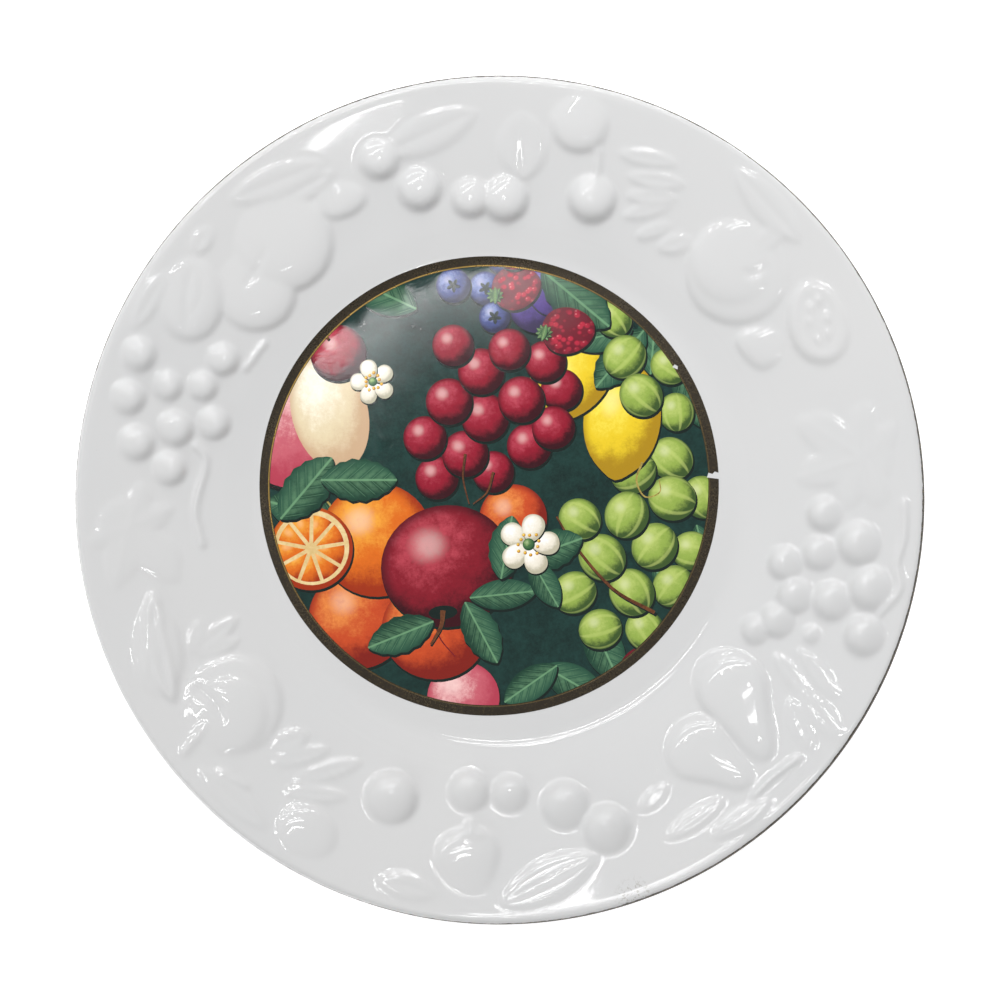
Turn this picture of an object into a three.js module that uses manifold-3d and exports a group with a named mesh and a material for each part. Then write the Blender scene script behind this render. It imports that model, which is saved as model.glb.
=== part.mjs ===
// Decorative ceramic plate with a garland of fruit in low relief on its rim.
// Millimetres, +Z up: the plate lies on its foot ring and shows its front upwards.
import * as THREE from 'three';
import * as BufferGeometryUtils from 'three/addons/utils/BufferGeometryUtils.js';
import Module from 'manifold-3d';

const wasm = await Module();
wasm.setup();

// Driving dimensions of the plate
const plateDiameter = 210;
const plateHeight = 18.5;
const wallThickness = 4;
const wellEdgeDiameter = 135.4;
const wellDepth = 1.8;
const wellFilletRadius = 5;
const wellEdgeRadius = 1.4;
const wellWallAngle = 22;
const lipThickness = 3.2;

// Driving dimensions of the foot ring and of the two holes for a hanging wire
const footDiameter = 120;
const footHeight = 5;
const footFaceWidth = 2.6;
const footFlare = 0.9;
const footBevel = 0.5;
const wireHoleDiameter = 2.6;
const wireHoleSpread = 18;
const drillOverrun = 1;

// Driving dimensions of the relief, drawn for a rim band of this width
const drawnBandWidth = 35.7;
const berryRise = 0.5;
const fruitRise = 0.18;
const leafRise = 0.8;
const tendrilRadius = 0.8;
const shoulderTurn = 1 / 7;
const shoulderLength = 0.78;
const reliefRoot = 0.3;
const reliefKey = 1.6;

// Facets
const bodySides = 60;
const berrySides = 9;
const fruitSides = 14;
const leafSides = 10;

// Heights and radii that follow from the driving dimensions
const plateRadius = plateDiameter / 2;
const wellRadius = wellEdgeDiameter / 2;
const footRadius = footDiameter / 2;
const lipRadius = lipThickness / 2;
const wallRun = wellDepth / Math.tan(THREE.MathUtils.degToRad(wellWallAngle));
const floorTop = footHeight + wallThickness;
const wellTop = floorTop + wellDepth;
const lipStart = plateRadius - lipRadius;
const rimSlope = Math.atan2(plateHeight - wellTop, lipStart - wellRadius);
const garlandScale = (lipStart - wellRadius) / drawnBandWidth;

const radians = (degrees) => THREE.MathUtils.degToRad(degrees);

// Points of a circular arc in the profile's plane, angles in degrees from +X
function arc(centreX, centreY, radius, from, to, steps) {
  const points = [];
  for (let i = 0; i <= steps; i += 1) {
    const angle = radians(THREE.MathUtils.lerp(from, to, i / steps));
    points.push(new THREE.Vector2(centreX + radius * Math.cos(angle), centreY + radius * Math.sin(angle)));
  }
  return points;
}

// The upper side, from the axis outwards to the top of the lip: a flat floor, a hollow fillet, the
// sloping wall, a rounded edge and the straight cone of the rim
function upperProfile() {
  const slope = THREE.MathUtils.radToDeg(rimSlope);
  const edgeTurn = radians(wellWallAngle - slope) / 2;
  const edgeTangent = wellEdgeRadius * Math.tan(edgeTurn);
  const edgeX = wellRadius + edgeTangent * Math.cos(rimSlope);
  const edgeY = wellTop + edgeTangent * Math.sin(rimSlope);
  const edgeCentreX = edgeX + wellEdgeRadius * Math.sin(rimSlope);
  const edgeCentreY = edgeY - wellEdgeRadius * Math.cos(rimSlope);
  const filletTangent = wellFilletRadius * Math.tan(radians(wellWallAngle) / 2);
  const filletX = wellRadius - wallRun - filletTangent;
  return [
    new THREE.Vector2(0, floorTop),
    ...arc(filletX, floorTop + wellFilletRadius, wellFilletRadius, -90, wellWallAngle - 90, 3),
    ...arc(edgeCentreX, edgeCentreY, wellEdgeRadius, 90 + wellWallAngle, 90 + slope, 2),
    new THREE.Vector2(lipStart, plateHeight),
  ];
}

// The under side, from the lip inwards to the axis: rim, outside of the well, foot ring, floor
function lowerProfile() {
  const footHalf = footFaceWidth / 2;
  const wallOut = wallThickness * Math.tan(radians(wellWallAngle) / 2);
  return [
    ...arc(lipStart, plateHeight - lipRadius, lipRadius, 54, -90, 4),
    new THREE.Vector2(wellRadius + wallOut, wellTop - wallThickness),
    new THREE.Vector2(wellRadius + wallOut - wallRun, footHeight),
    new THREE.Vector2(footRadius + footHalf + footFlare, footHeight),
    new THREE.Vector2(footRadius + footHalf, footBevel),
    new THREE.Vector2(footRadius + footHalf - footBevel, 0),
    new THREE.Vector2(footRadius - footHalf + footBevel, 0),
    new THREE.Vector2(footRadius - footHalf, footBevel),
    new THREE.Vector2(footRadius - footHalf - footFlare, footHeight),
    new THREE.Vector2(0, footHeight),
  ];
}

const upper = upperProfile();

// Height of the plain upper side at a distance from the axis
function topHeight(radius) {
  for (let i = 1; i < upper.length; i += 1) {
    const inner = upper[i - 1];
    const outer = upper[i];
    if (radius <= outer.x) {
      return THREE.MathUtils.mapLinear(radius, inner.x, outer.x, inner.y, outer.y);
    }
  }
  return plateHeight;
}

// A point on the rim: turn in degrees anticlockwise from +X, out in drawn millimetres from the well's edge
function onRim(turn, out) {
  const radius = wellRadius + out * garlandScale;
  return new THREE.Vector2(radius * Math.cos(radians(turn)), radius * Math.sin(radians(turn)));
}

// Outlines of the relief's forms: each gives a point for an angle that runs once round, tip at angle 0
const egg = (half, wide, taper) => (angle) => new THREE.Vector2(
  half * Math.cos(angle),
  wide * Math.sin(angle) * (1 - taper * Math.cos(angle)),
);

const blade = (half, wide) => (angle) => new THREE.Vector2(
  half * Math.cos(angle),
  wide * Math.sin(angle) * Math.sqrt(Math.abs(Math.sin(angle))),
);

// A lobed leaf: lobes are pairs of heading in degrees and length, with a notch halfway between neighbours
// and a shoulder on each side of a lobe's tip
function lobed(lobes, notch) {
  const corners = [];
  lobes.forEach(([heading, length], i) => {
    const [nextHeading, nextLength] = lobes[(i + 1) % lobes.length];
    const gap = THREE.MathUtils.euclideanModulo(nextHeading - heading, 360);
    const depth = Math.min(length, nextLength) * notch;
    const shoulder = gap * shoulderTurn;
    corners.push([heading - shoulder, length * shoulderLength], [heading, length]);
    corners.push([heading + shoulder, length * shoulderLength], [heading + gap / 2, depth]);
  });
  return corners.map(([heading, length]) => new THREE.Vector2(
    length * Math.cos(radians(heading)),
    length * Math.sin(radians(heading)),
  ));
}

// A low closed mound over a star-shaped outline. Its skin follows the plain upper side of the plate, so it
// drapes over the well's edge, and its root reaches a little way into the wall below.
function mound(place, outline, rings, profile) {
  const sides = outline.length;
  const positions = [];
  const indices = [];
  const addPoint = (x, y, height) => {
    positions.push(x, y, topHeight(Math.hypot(x, y)) + height);
  };
  addPoint(place.x, place.y, profile(0) - reliefRoot);
  for (let ring = 1; ring <= rings; ring += 1) {
    const share = Math.sin((ring / rings) * Math.PI / 2);
    for (const corner of outline) {
      addPoint(place.x + corner.x * share, place.y + corner.y * share, profile(share) - reliefRoot);
    }
  }
  addPoint(place.x, place.y, -reliefKey);
  const bottom = rings * sides + 1;
  for (let side = 0; side < sides; side += 1) {
    const next = (side + 1) % sides;
    indices.push(0, 1 + side, 1 + next);
    for (let ring = 1; ring < rings; ring += 1) {
      const inner = 1 + (ring - 1) * sides;
      const outer = inner + sides;
      indices.push(inner + side, outer + side, outer + next);
      indices.push(inner + side, outer + next, inner + next);
    }
    const last = 1 + (rings - 1) * sides;
    indices.push(last + next, last + side, bottom);
  }
  const geometry = new THREE.BufferGeometry();
  geometry.setAttribute('position', new THREE.Float32BufferAttribute(positions, 3));
  geometry.setIndex(indices);
  return geometry;
}

// Turns an outline's function into scaled corner points that head the given way
function turned(outline, sides, heading) {
  const points = [];
  for (let i = 0; i < sides; i += 1) {
    const point = outline((i / sides) * Math.PI * 2).multiplyScalar(garlandScale);
    points.push(point.rotateAround(new THREE.Vector2(), radians(heading)));
  }
  return points;
}

const dome = (rise) => (share) => rise * Math.sqrt(Math.max(0, 1 - share * share));
const cushion = (rise) => (share) => rise * (1 - share * share);

function berry([turn, out, radius]) {
  const outline = turned(egg(radius, radius, 0), berrySides, turn);
  return mound(onRim(turn, out), outline, 3, dome(berryRise * radius * garlandScale));
}

function fruit([turn, out, half, wide, taper, heading]) {
  const outline = turned(egg(half, wide, taper), fruitSides, heading);
  return mound(onRim(turn, out), outline, 3, dome(fruitRise * wide * garlandScale + reliefRoot));
}

function leaf([turn, out, half, wide, heading]) {
  const outline = turned(blade(half, wide), leafSides, heading);
  return mound(onRim(turn, out), outline, 2, cushion(leafRise * garlandScale + reliefRoot));
}

function vineLeaf({ turn, out, notch, lobes }) {
  const outline = lobed(lobes, notch).map((corner) => corner.multiplyScalar(garlandScale));
  return mound(onRim(turn, out), outline, 2, cushion(leafRise * garlandScale + reliefRoot));
}

// A round stem laid half into the rim along a smooth line through its turn and out pairs
function tendril(line) {
  const points = line.map(([turn, out]) => {
    const place = onRim(turn, out);
    return new THREE.Vector3(place.x, place.y, topHeight(place.length()));
  });
  const path = new THREE.CatmullRomCurve3(points);
  const section = new THREE.Shape();
  section.absarc(0, 0, tendrilRadius * garlandScale, 0, Math.PI * 2);
  return new THREE.ExtrudeGeometry(section, {
    curveSegments: 2,
    steps: 3 * (points.length - 1),
    extrudePath: path,
  });
}

// Grapes, cherries and other small round fruit: turn, out, radius
const leftGrapes = [
  [153, 9.5, 4], [158, 28.7, 4.2], [159, 11.4, 3.7], [161, 19.4, 3.7], [164.5, 27.7, 4.2],
  [165, 6, 4], [167.5, 14.8, 4.4], [171, 23.4, 4.4], [174.5, 14.7, 4.2],
];
const rightGrapes = [
  [357.5, 12.9, 4.2], [353, 21.9, 5.2], [350.5, 12.7, 4.2], [347.5, 4.9, 4.2], [346.5, 26.5, 5.2],
  [343, 18.3, 4.7], [342, 9.3, 4.4], [339.5, 28.5, 4.9], [336.5, 7.5, 4.2], [336.5, 16.4, 2.2],
];
const looseBerries = [
  [109.5, 21.9, 4.9], [104.5, 12.2, 5.4], [95.5, 7.8, 4.9], [89, 7.2, 5.7], [73, 10.6, 5.9],
  [250, 11, 6.4], [264, 5.2, 4.9], [272, 5.5, 4.4], [282, 9.9, 5.7], [288, 18.1, 5.8], [333, 3.6, 3.5],
];

// Large fruit: turn, out, half length, half width, taper towards the tip, heading of the tip in degrees
const largeFruit = [
  [130, 15.4, 12, 12, 0, 0],
  [139.4, 12, 9.9, 9.9, 0, 0],
  [147, 23.4, 10.2, 7.8, 0, 85],
  [118, 16.5, 6.4, 4.4, 0.1, 10],
  [78, 27.4, 7, 7, 0, 0],
  [43.8, 13.7, 12.7, 12.7, 0, 0],
  [29.2, 22.5, 10.3, 7.3, 0.1, 105],
  [30.8, 7.1, 6, 5, 0.3, 160],
  [319.3, 11.1, 14.4, 8.4, 0.4, 296],
  [309.3, 15, 11.5, 8, 0.3, 326],
  [265, 22.1, 8.2, 7.6, 0.25, 280],
  [239.8, 27, 7.6, 6.2, 0, 330],
  [217.5, 15.8, 12.3, 12.3, 0, 0],
  [203.6, 24.8, 11, 6.4, 0.1, 95],
];

// Leaves: turn, out, half length, half width, heading of the tip in degrees
const leaves = [
  [125, 28.4, 12.3, 4.4, 22], [122.5, 23.6, 9, 3.5, 28], [150.4, 32, 8, 2.8, 60], [139, 30, 3.7, 2.6, 60],
  [100.8, 24.8, 12.5, 5, 25], [86.3, 20.2, 8.3, 6.5, 272],
  [66.6, 24.4, 7.5, 2.2, 170], [63.9, 20.4, 7.3, 2.4, 172], [63.4, 16.3, 6.5, 2, 178],
  [63, 13, 6.5, 2, 195], [60.3, 9.2, 5, 1.8, 200], [55.6, 9.3, 4.4, 2.6, 15],
  [47.7, 30.7, 12, 4.2, 312], [44.1, 25.9, 5, 2.6, 40],
  [326.8, 19.4, 10.5, 4.2, 287], [326.6, 27.9, 10.4, 4, 281],
  [301.1, 23.2, 8.5, 4.5, 213], [306.7, 30.3, 8, 2.6, 215], [297, 15.5, 4.5, 2.5, 60],
  [277.3, 27, 13.2, 5.2, 27], [256.4, 30.5, 7.5, 3.4, 345],
  [228.2, 31.2, 11, 3.2, 318], [232.1, 12.8, 7.6, 2.2, 14], [237.5, 12, 9, 2.4, 15],
  [237.9, 18.3, 8, 2.2, 355], [228.9, 11.6, 4.8, 3, 20], [205, 10.6, 6.4, 4.6, 20],
];

// Vine leaves: place of the veins' meeting point, share of a lobe left at the notches, heading and length
const vineLeaves = [
  {
    turn: 184.1,
    out: 24.7,
    notch: 0.62,
    lobes: [[22, 12], [68, 12], [205, 10.5], [260, 15.5], [315, 18.5]],
  },
  {
    turn: 6.6,
    out: 22.6,
    notch: 0.6,
    lobes: [[45, 12], [88, 14.5], [147, 19], [197, 17], [250, 13.5], [293, 13.5]],
  },
];

// Stems and tendrils: turn and out of the points on each line
const tendrils = [
  [[169.8, 9.1], [172.7, 5.8], [181.5, 7.9], [188.6, 7]],
  [[146.2, 2.5], [152.7, 3.4]],
  [[359.6, 32.1], [355, 32.5], [350.8, 31.6], [347.4, 33.4], [343.3, 30.3]],
  [[73.3, 15.9], [74.2, 22.2]],
  [[217.3, 22.4], [218.6, 32.2]],
  [[224.1, 28.6], [228.4, 26.8]],
  [[310.8, 28.6], [315, 28.4], [319.1, 29.7]],
];

// Makes a solid of a closed geometry
function solidOf(geometry) {
  const bare = geometry.clone();
  bare.deleteAttribute('normal');
  bare.deleteAttribute('uv');
  const merged = BufferGeometryUtils.mergeVertices(bare, 1e-4);
  return new wasm.Manifold(new wasm.Mesh({
    numProp: 3,
    vertProperties: new Float32Array(merged.attributes.position.array),
    triVerts: new Uint32Array(merged.index.array),
  }));
}

// The turned body, without its relief
function bodyGeometry() {
  const profile = [...upper, ...lowerProfile()].reverse();
  const geometry = new THREE.LatheGeometry(profile, bodySides);
  geometry.rotateX(Math.PI / 2);
  return geometry;
}

// A drill for one hole through the foot ring, which runs outwards at a turn from +X
function wireHole(turn) {
  const reach = footFaceWidth + 2 * (footFlare + drillOverrun);
  const drill = new THREE.CylinderGeometry(wireHoleDiameter / 2, wireHoleDiameter / 2, reach, 12);
  drill.rotateZ(Math.PI / 2);
  drill.translate(footRadius, 0, footHeight / 2);
  drill.rotateZ(radians(turn));
  return drill;
}

function plateGeometry() {
  const relief = [
    ...[...leftGrapes, ...rightGrapes, ...looseBerries].map(berry),
    ...largeFruit.map(fruit),
    ...leaves.map(leaf),
    ...vineLeaves.map(vineLeaf),
    ...tendrils.map(tendril),
  ];
  let solid = solidOf(bodyGeometry());
  for (const form of relief) {
    solid = solid.add(solidOf(form));
  }
  for (const side of [-1, 1]) {
    solid = solid.subtract(solidOf(wireHole(90 + side * wireHoleSpread)));
  }
  const mesh = solid.getMesh();
  const geometry = new THREE.BufferGeometry();
  geometry.setAttribute('position', new THREE.BufferAttribute(mesh.vertProperties, 3));
  geometry.setIndex(new THREE.BufferAttribute(mesh.triVerts, 1));
  geometry.computeVertexNormals();
  return geometry;
}

const glaze = new THREE.MeshStandardMaterial({ color: '#e9e9e8', roughness: 0.12, metalness: 0 });

const plate = new THREE.Mesh(plateGeometry(), glaze);
plate.name = 'plate';

const group = new THREE.Group();
group.add(plate);

export default group;
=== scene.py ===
"""Glazed decorative plate: its body with the cast garland, its printed fruit picture and its stage.

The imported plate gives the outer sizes. Tables hold millimetres and degrees, the finished meshes are in
metres, +Z points out of the plate's front and +Y to the top of the picture.
"""

import math

import bmesh
import bpy
import numpy as np
from bpy.props import FloatProperty, FloatVectorProperty, IntProperty, PointerProperty
from mathutils import Matrix, Quaternion, Vector
from mathutils.geometry import delaunay_2d_cdt


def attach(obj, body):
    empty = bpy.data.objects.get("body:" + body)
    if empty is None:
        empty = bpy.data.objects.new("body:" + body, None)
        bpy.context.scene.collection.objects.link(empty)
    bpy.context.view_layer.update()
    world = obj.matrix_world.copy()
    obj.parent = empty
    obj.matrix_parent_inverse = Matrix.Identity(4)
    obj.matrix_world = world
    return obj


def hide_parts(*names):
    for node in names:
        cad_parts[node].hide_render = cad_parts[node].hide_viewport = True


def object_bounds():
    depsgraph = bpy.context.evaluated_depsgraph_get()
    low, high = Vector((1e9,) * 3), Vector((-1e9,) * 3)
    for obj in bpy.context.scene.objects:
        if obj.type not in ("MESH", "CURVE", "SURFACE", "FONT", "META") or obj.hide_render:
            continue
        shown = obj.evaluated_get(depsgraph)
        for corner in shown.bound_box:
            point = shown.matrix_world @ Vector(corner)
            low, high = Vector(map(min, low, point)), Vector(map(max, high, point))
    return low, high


bl_info = {
    "name": "Fruit garland plate",
    "version": (1, 0, 0),
    "blender": (4, 5, 0),
    "location": "View3D > Sidebar > Plate",
    "description": "Makes a glazed plate with a cast fruit garland and a printed fruit picture",
    "category": "Object",
}

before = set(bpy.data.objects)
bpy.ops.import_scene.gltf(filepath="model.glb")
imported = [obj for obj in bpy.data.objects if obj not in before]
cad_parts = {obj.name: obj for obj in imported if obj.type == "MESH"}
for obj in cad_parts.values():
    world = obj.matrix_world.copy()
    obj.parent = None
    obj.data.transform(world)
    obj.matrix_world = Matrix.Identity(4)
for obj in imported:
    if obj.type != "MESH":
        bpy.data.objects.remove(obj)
CAD_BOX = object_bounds()
PLATE_NODE = "plate"
BODY = "root"

MM = 0.001
CAD_DIAMETER = CAD_BOX[1][0] - CAD_BOX[0][0]


def way(degrees):
    """Cosine and sine of a heading in degrees."""
    return math.cos(math.radians(degrees)), math.sin(math.radians(degrees))


def paint(code):
    """A hex paint code as the linear colour that shaders work in."""
    shares = [int(code[i:i + 2], 16) / 255 for i in (1, 3, 5)]
    linear = [s / 12.92 if s <= 0.04045 else ((s + 0.055) / 1.055) ** 2.4 for s in shares]
    return (*linear, 1.0)


def length(name, description, default):
    return FloatProperty(name=name, description=description, default=default, unit="LENGTH",
                         subtype="DISTANCE", precision=4)


def number(name, description, default):
    return FloatProperty(name=name, description=description, default=default, min=0.0)


def share(name, description, default):
    return FloatProperty(name=name, description=description, default=default, min=0.0, soft_max=1.0,
                         subtype="FACTOR")


def colour(name, description, code):
    return FloatVectorProperty(name=name, description=description, default=paint(code)[:3], size=3,
                               subtype="COLOR", min=0.0, max=1.0)


class PlateSettings(bpy.types.PropertyGroup):
    """Sizes and colours of the glazed body"""
    diameter: length("Diameter", "Across the lip", CAD_DIAMETER)
    height: length("Height", "Standing face to the top of the lip", 0.0185)
    well_edge: length("Well edge", "Diameter at which the rim meets the well", 0.1354)
    well_depth: length("Well depth", "Rim's inner edge above the well's floor", 0.0018)
    wall: length("Wall", "Thickness of the turned body", 0.004)
    lip: length("Lip", "Thickness of the rounded lip", 0.0032)
    foot_diameter: length("Foot diameter", "Middle of the foot ring's standing face", 0.12)
    foot_height: length("Foot height", "Standing face to the underside of the floor", 0.005)
    wire_hole: length("Wire hole", "Diameter of the two holes for a hanging wire", 0.0026)
    berry_rise: share("Berry rise", "Height of a round berry as a share of its radius", 0.43)
    fruit_rise: length("Fruit rise", "Height of a large fruit's middle over the rim", 0.0013)
    leaf_rise: length("Leaf rise", "Height of a leaf over the rim", 0.00045)
    softening: IntProperty(name="Glaze softening", description="Passes that round the cast forms", default=4,
                           min=0, max=12)
    glaze_colour: colour("Glaze", "Colour of the white glaze", "#cfcfcf")
    foot_colour: colour("Foot", "Colour of the bare standing face", "#d9cfbf")
    gilt_colour: colour("Gilt", "Colour of the dark gilt line on the lip", "#261f15")
    gilt_width: length("Gilt width", "Mean width of the gilt line on the lip", 0.00040)


# Paints of the picture: what each is for, and its deep, middle and bright shade
PAINTS = {
    "ground": ("Dark ground behind the fruit", "#0d2421", "#1b3d38", "#2f5f52"),
    "leaf": ("Leaves", "#173a2c", "#2a5340", "#6f9d74"),
    "young_leaf": ("Leaves at the picture's edge", "#22482c", "#426b41", "#a3c07c"),
    "gooseberry": ("Green berries", "#3a5226", "#90a94b", "#bccb72"),
    "lemon": ("Lemons", "#a98414", "#e6c626", "#f6e65c"),
    "orange": ("Oranges and their slices", "#9c2f0c", "#d96a18", "#f3ad3e"),
    "pith": ("Pith of a cut orange", "#d2b071", "#ecd6a2", "#fdf6dc"),
    "apricot": ("Apricots", "#7e1c12", "#c44a22", "#ec9449"),
    "apple": ("Dark red apples", "#360511", "#821425", "#c24a58"),
    "cherry": ("Cherries and currants", "#350612", "#8f142b", "#c24a5c"),
    "raspberry": ("Raspberries", "#5c0d20", "#b8243c", "#f2a0a2"),
    "blush": ("Pink side of the pale fruit", "#b03c50", "#c45d6b", "#f6c9c6"),
    "cream": ("Pale side of the pale fruit", "#c9a886", "#dfceaa", "#fbf6e6"),
    "plum": ("Plums", "#261645", "#4c3584", "#9384c6"),
    "blueberry": ("Blueberries", "#161c40", "#32407c", "#8f9bcb"),
    "petal": ("Blossom petals", "#b9b39c", "#ebe4d4", "#ffffff"),
    "pollen": ("Middles of the blossoms", "#8a4a14", "#d8a52c", "#f6dc6a"),
    "twig": ("Twigs and stalks", "#3a1c12", "#7a4a2a", "#b98452"),
    "curl": ("Gold tendrils", "#6d5a24", "#c3ac5e", "#f0e2a6"),
    "shadow": ("Cast shadows and seams", "#0c1a17", "#10211d", "#142a25"),
}


class PictureSettings(bpy.types.PropertyGroup):
    """Sizes and colours of the printed picture"""
    centre_x: length("Centre to the right", "Picture's middle from the plate's axis", -0.0027)
    centre_y: length("Centre upwards", "Picture's middle from the plate's axis", 0.0035)
    radius: length("Picture radius", "Inside the gilt ring", 0.0546)
    ring: length("Ring width", "Width of the gilt ring", 0.0026)
    skin: length("Skin", "Height of the print's colour over the glaze", 0.00003)
    grain: share("Brush grain", "Strength of the brush marks", 0.5)
    ring_colour: colour("Ring", "Colour of the dark gilt ring", "#3c352a")
    # The ring line is a painted highlight: a thin golden line where the print's edge catches light
    ring_glint_colour: colour("Ring line", "Colour of the thin gold line inside the ring", "#c9a558")
    __annotations__.update({name: colour(name.replace("_", " ").capitalize(), use, body)
                            for name, (use, _, body, _) in PAINTS.items()})


class StageSettings(bpy.types.PropertyGroup):
    """Camera, lights and floor"""
    camera_height: length("Camera height", "Camera above the plate's lip", 1.0)
    lens: number("Lens", "Focal length in millimetres", 145.7)
    floor_radius: length("Floor radius", "Radius of the round floor", 2.5)
    floor_colour: colour("Floor", "Pale floor", "#fbfbfb")
    sky: number("Sky", "Strength of the even light", 0.35)
    soft_box: number("Soft box", "Brightness of the soft light above the plate's top", 2.25)
    fill: number("Fill", "Brightness of the broad light at the lower left", 1.5)
    strips: number("Strips", "Brightness of the long strip lights", 14.0)
    lamps: number("Lamps", "Brightness of the small lamps", 40.0)
    skylight: number("Skylight", "Brightness of the lights beside the camera", 32.0)
    floor_glow: share("Floor glow", "Light that the pale floor gives off", 0.5)


class Recipe:
    """Adds nodes to a tree one after another and gives back their output sockets."""

    def __init__(self, tree):
        self.tree = tree

    def add(self, kind, inputs=None, output=0, **settings):
        node = self.tree.nodes.new(kind)
        for name, value in settings.items():
            setattr(node, name, value)
        self.feed(node, inputs or {})
        return node.outputs[output]

    def feed(self, node, inputs):
        """Links a node's inputs to the sockets given, or sets them to the constants given."""
        for key, value in inputs.items():
            if isinstance(value, bpy.types.NodeSocket):
                self.tree.links.new(value, node.inputs[key])
            else:
                node.inputs[key].default_value = value

    def group(self, tree, inputs):
        """Places a shared group and gives back its outputs."""
        return self.add("ShaderNodeGroup", inputs, node_tree=tree).node.outputs

    def math(self, operation, first, second=0.0):
        return self.add("ShaderNodeMath", {0: first, 1: second}, operation=operation)

    def times(self, first, second):
        return self.math("MULTIPLY", first, second)

    def plus(self, first, second):
        return self.math("ADD", first, second)

    def minus(self, first, second):
        return self.math("SUBTRACT", first, second)

    def scaled(self, vector, factor):
        return self.add("ShaderNodeVectorMath", {0: vector, "Scale": factor}, operation="SCALE")

    def shifted(self, vector, offset):
        return self.add("ShaderNodeVectorMath", {0: vector, 1: offset}, operation="ADD")

    def length_of(self, vector):
        return self.add("ShaderNodeVectorMath", {0: vector}, output=1, operation="LENGTH")

    def parts(self, vector):
        node = self.add("ShaderNodeSeparateXYZ", {0: vector}).node
        return node.outputs[0], node.outputs[1], node.outputs[2]

    def own_place(self):
        """Places in the object's own coordinates."""
        return self.add("ShaderNodeTexCoord").node.outputs["Object"]

    def joined(self, x, y, z=0.0):
        return self.add("ShaderNodeCombineXYZ", {0: x, 1: y, 2: z})

    def step(self, value, low, high, start=0.0, end=1.0):
        """A smooth step from start to end while value runs from low to high."""
        return self.add("ShaderNodeMapRange", {0: value, 1: low, 2: high, 3: start, 4: end},
                        interpolation_type="SMOOTHSTEP")

    def noise(self, place, scale, detail=2.0, roughness=0.5):
        return self.add("ShaderNodeTexNoise", {"Vector": place, "Scale": scale, "Detail": detail,
                                               "Roughness": roughness})

    def cells(self, place, scale):
        """How far each place is from the middle of its cell."""
        return self.add("ShaderNodeTexVoronoi", {"Vector": place, "Scale": scale}).node.outputs["Distance"]

    def blend(self, factor, first, second):
        return self.add("ShaderNodeMix", {0: factor, 6: first, 7: second}, output=2, data_type="RGBA")

    def bumped(self, height, distance, strength=1.0):
        return self.add("ShaderNodeBump", {"Height": height, "Strength": strength, "Distance": distance})

    def attribute(self, name, output):
        return self.add("ShaderNodeAttribute", attribute_name=name).node.outputs[output]


def shared_group(name, inputs, outputs):
    """A new shader node group: its recipe, its input sockets by name and a function that closes it."""
    tree = bpy.data.node_groups.new(name, "ShaderNodeTree")
    for label, (kind, default) in inputs.items():
        socket = tree.interface.new_socket(label, in_out="INPUT", socket_type=kind)
        if default is not None:
            socket.default_value = default
    for label, kind in outputs.items():
        tree.interface.new_socket(label, in_out="OUTPUT", socket_type=kind)
    recipe = Recipe(tree)
    entry = tree.nodes.new("NodeGroupInput")
    exit_node = tree.nodes.new("NodeGroupOutput")

    def close(results):
        for label, socket in results.items():
            tree.links.new(socket, exit_node.inputs[label])
        return tree

    return recipe, entry.outputs, close


# Depth of the relief in the glaze and in the gilt, in metres
GLAZE_BUMP = 0.00006
GILT_BUMP = 0.00004

NUMBER = "NodeSocketFloat"
VECTOR = "NodeSocketVector"
COLOUR = "NodeSocketColor"


def glaze_surface_group():
    """Height of the fired glaze: slow waves of the melt, a fine orange peel and rare pits."""
    r, given, close = shared_group(
        "glaze surface",
        {"Place": (VECTOR, None), "Waves": (NUMBER, 1.0), "Peel": (NUMBER, 1.0), "Fineness": (NUMBER, 1.0),
         "Pits": (NUMBER, 1.0)},
        {"Height": NUMBER},
    )
    place = given["Place"]
    waves = r.times(r.noise(place, 55.0, 1.0), given["Waves"])
    peel = r.times(r.times(r.noise(r.scaled(place, given["Fineness"]), 900.0, 2.0), 0.035), given["Peel"])
    pit = r.step(r.cells(place, 160.0), 0.0, 0.045, -0.25, 0.0)
    return close({"Height": r.plus(r.plus(waves, peel), r.times(pit, given["Pits"]))})


def worn_gilt_group():
    """Dark gilt: its colour with burnished and rubbed places, and how rough it is."""
    r, given, close = shared_group(
        "worn gilt",
        {"Place": (VECTOR, None), "Gilt": (COLOUR, paint("#57492f")), "Wear": (NUMBER, 0.5)},
        {"Colour": COLOUR, "Roughness": NUMBER, "Sparkle": NUMBER},
    )
    place = given["Place"]
    broad = r.noise(place, 70.0, 3.0, 0.6)
    fine = r.noise(place, 2600.0, 2.0, 0.7)
    dull = r.blend(r.step(broad, 0.35, 0.7, 0.0, 0.75), given["Gilt"], paint("#2e2820"))
    bright = r.blend(r.times(r.step(fine, 0.5, 0.8), given["Wear"]), dull, paint("#a58c55"))
    roughness = r.step(r.plus(r.times(broad, 0.6), r.times(fine, 0.4)), 0.3, 0.75, 0.22, 0.42)
    return close({"Colour": bright, "Roughness": roughness, "Sparkle": fine})


def brush_grain_group():
    """Brush marks and stipple of the painted picture, from 0 to 1 round a half."""
    r, given, close = shared_group(
        "brush grain",
        {"Place": (VECTOR, None), "Stroke": (VECTOR, None), "Touch": (NUMBER, 0.0)},
        {"Grain": NUMBER, "Stipple": NUMBER},
    )
    turned = r.shifted(given["Place"], r.joined(given["Touch"], r.times(given["Touch"], 1.7)))
    wash = r.noise(turned, 260.0, 3.0, 0.6)
    stroke = r.noise(r.shifted(given["Stroke"], r.joined(given["Touch"], given["Touch"])), 3.2, 3.0, 0.65)
    stipple = r.noise(turned, 1500.0, 2.0, 0.75)
    grain = r.plus(r.plus(r.times(wash, 0.4), r.times(stroke, 0.3)), r.times(stipple, 0.3))
    return close({"Grain": grain, "Stipple": stipple})


PAINTS_IN = {"Deep": (COLOUR, None), "Body": (COLOUR, None), "Bright": (COLOUR, None), "Grain": (NUMBER, 0.5)}


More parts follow.
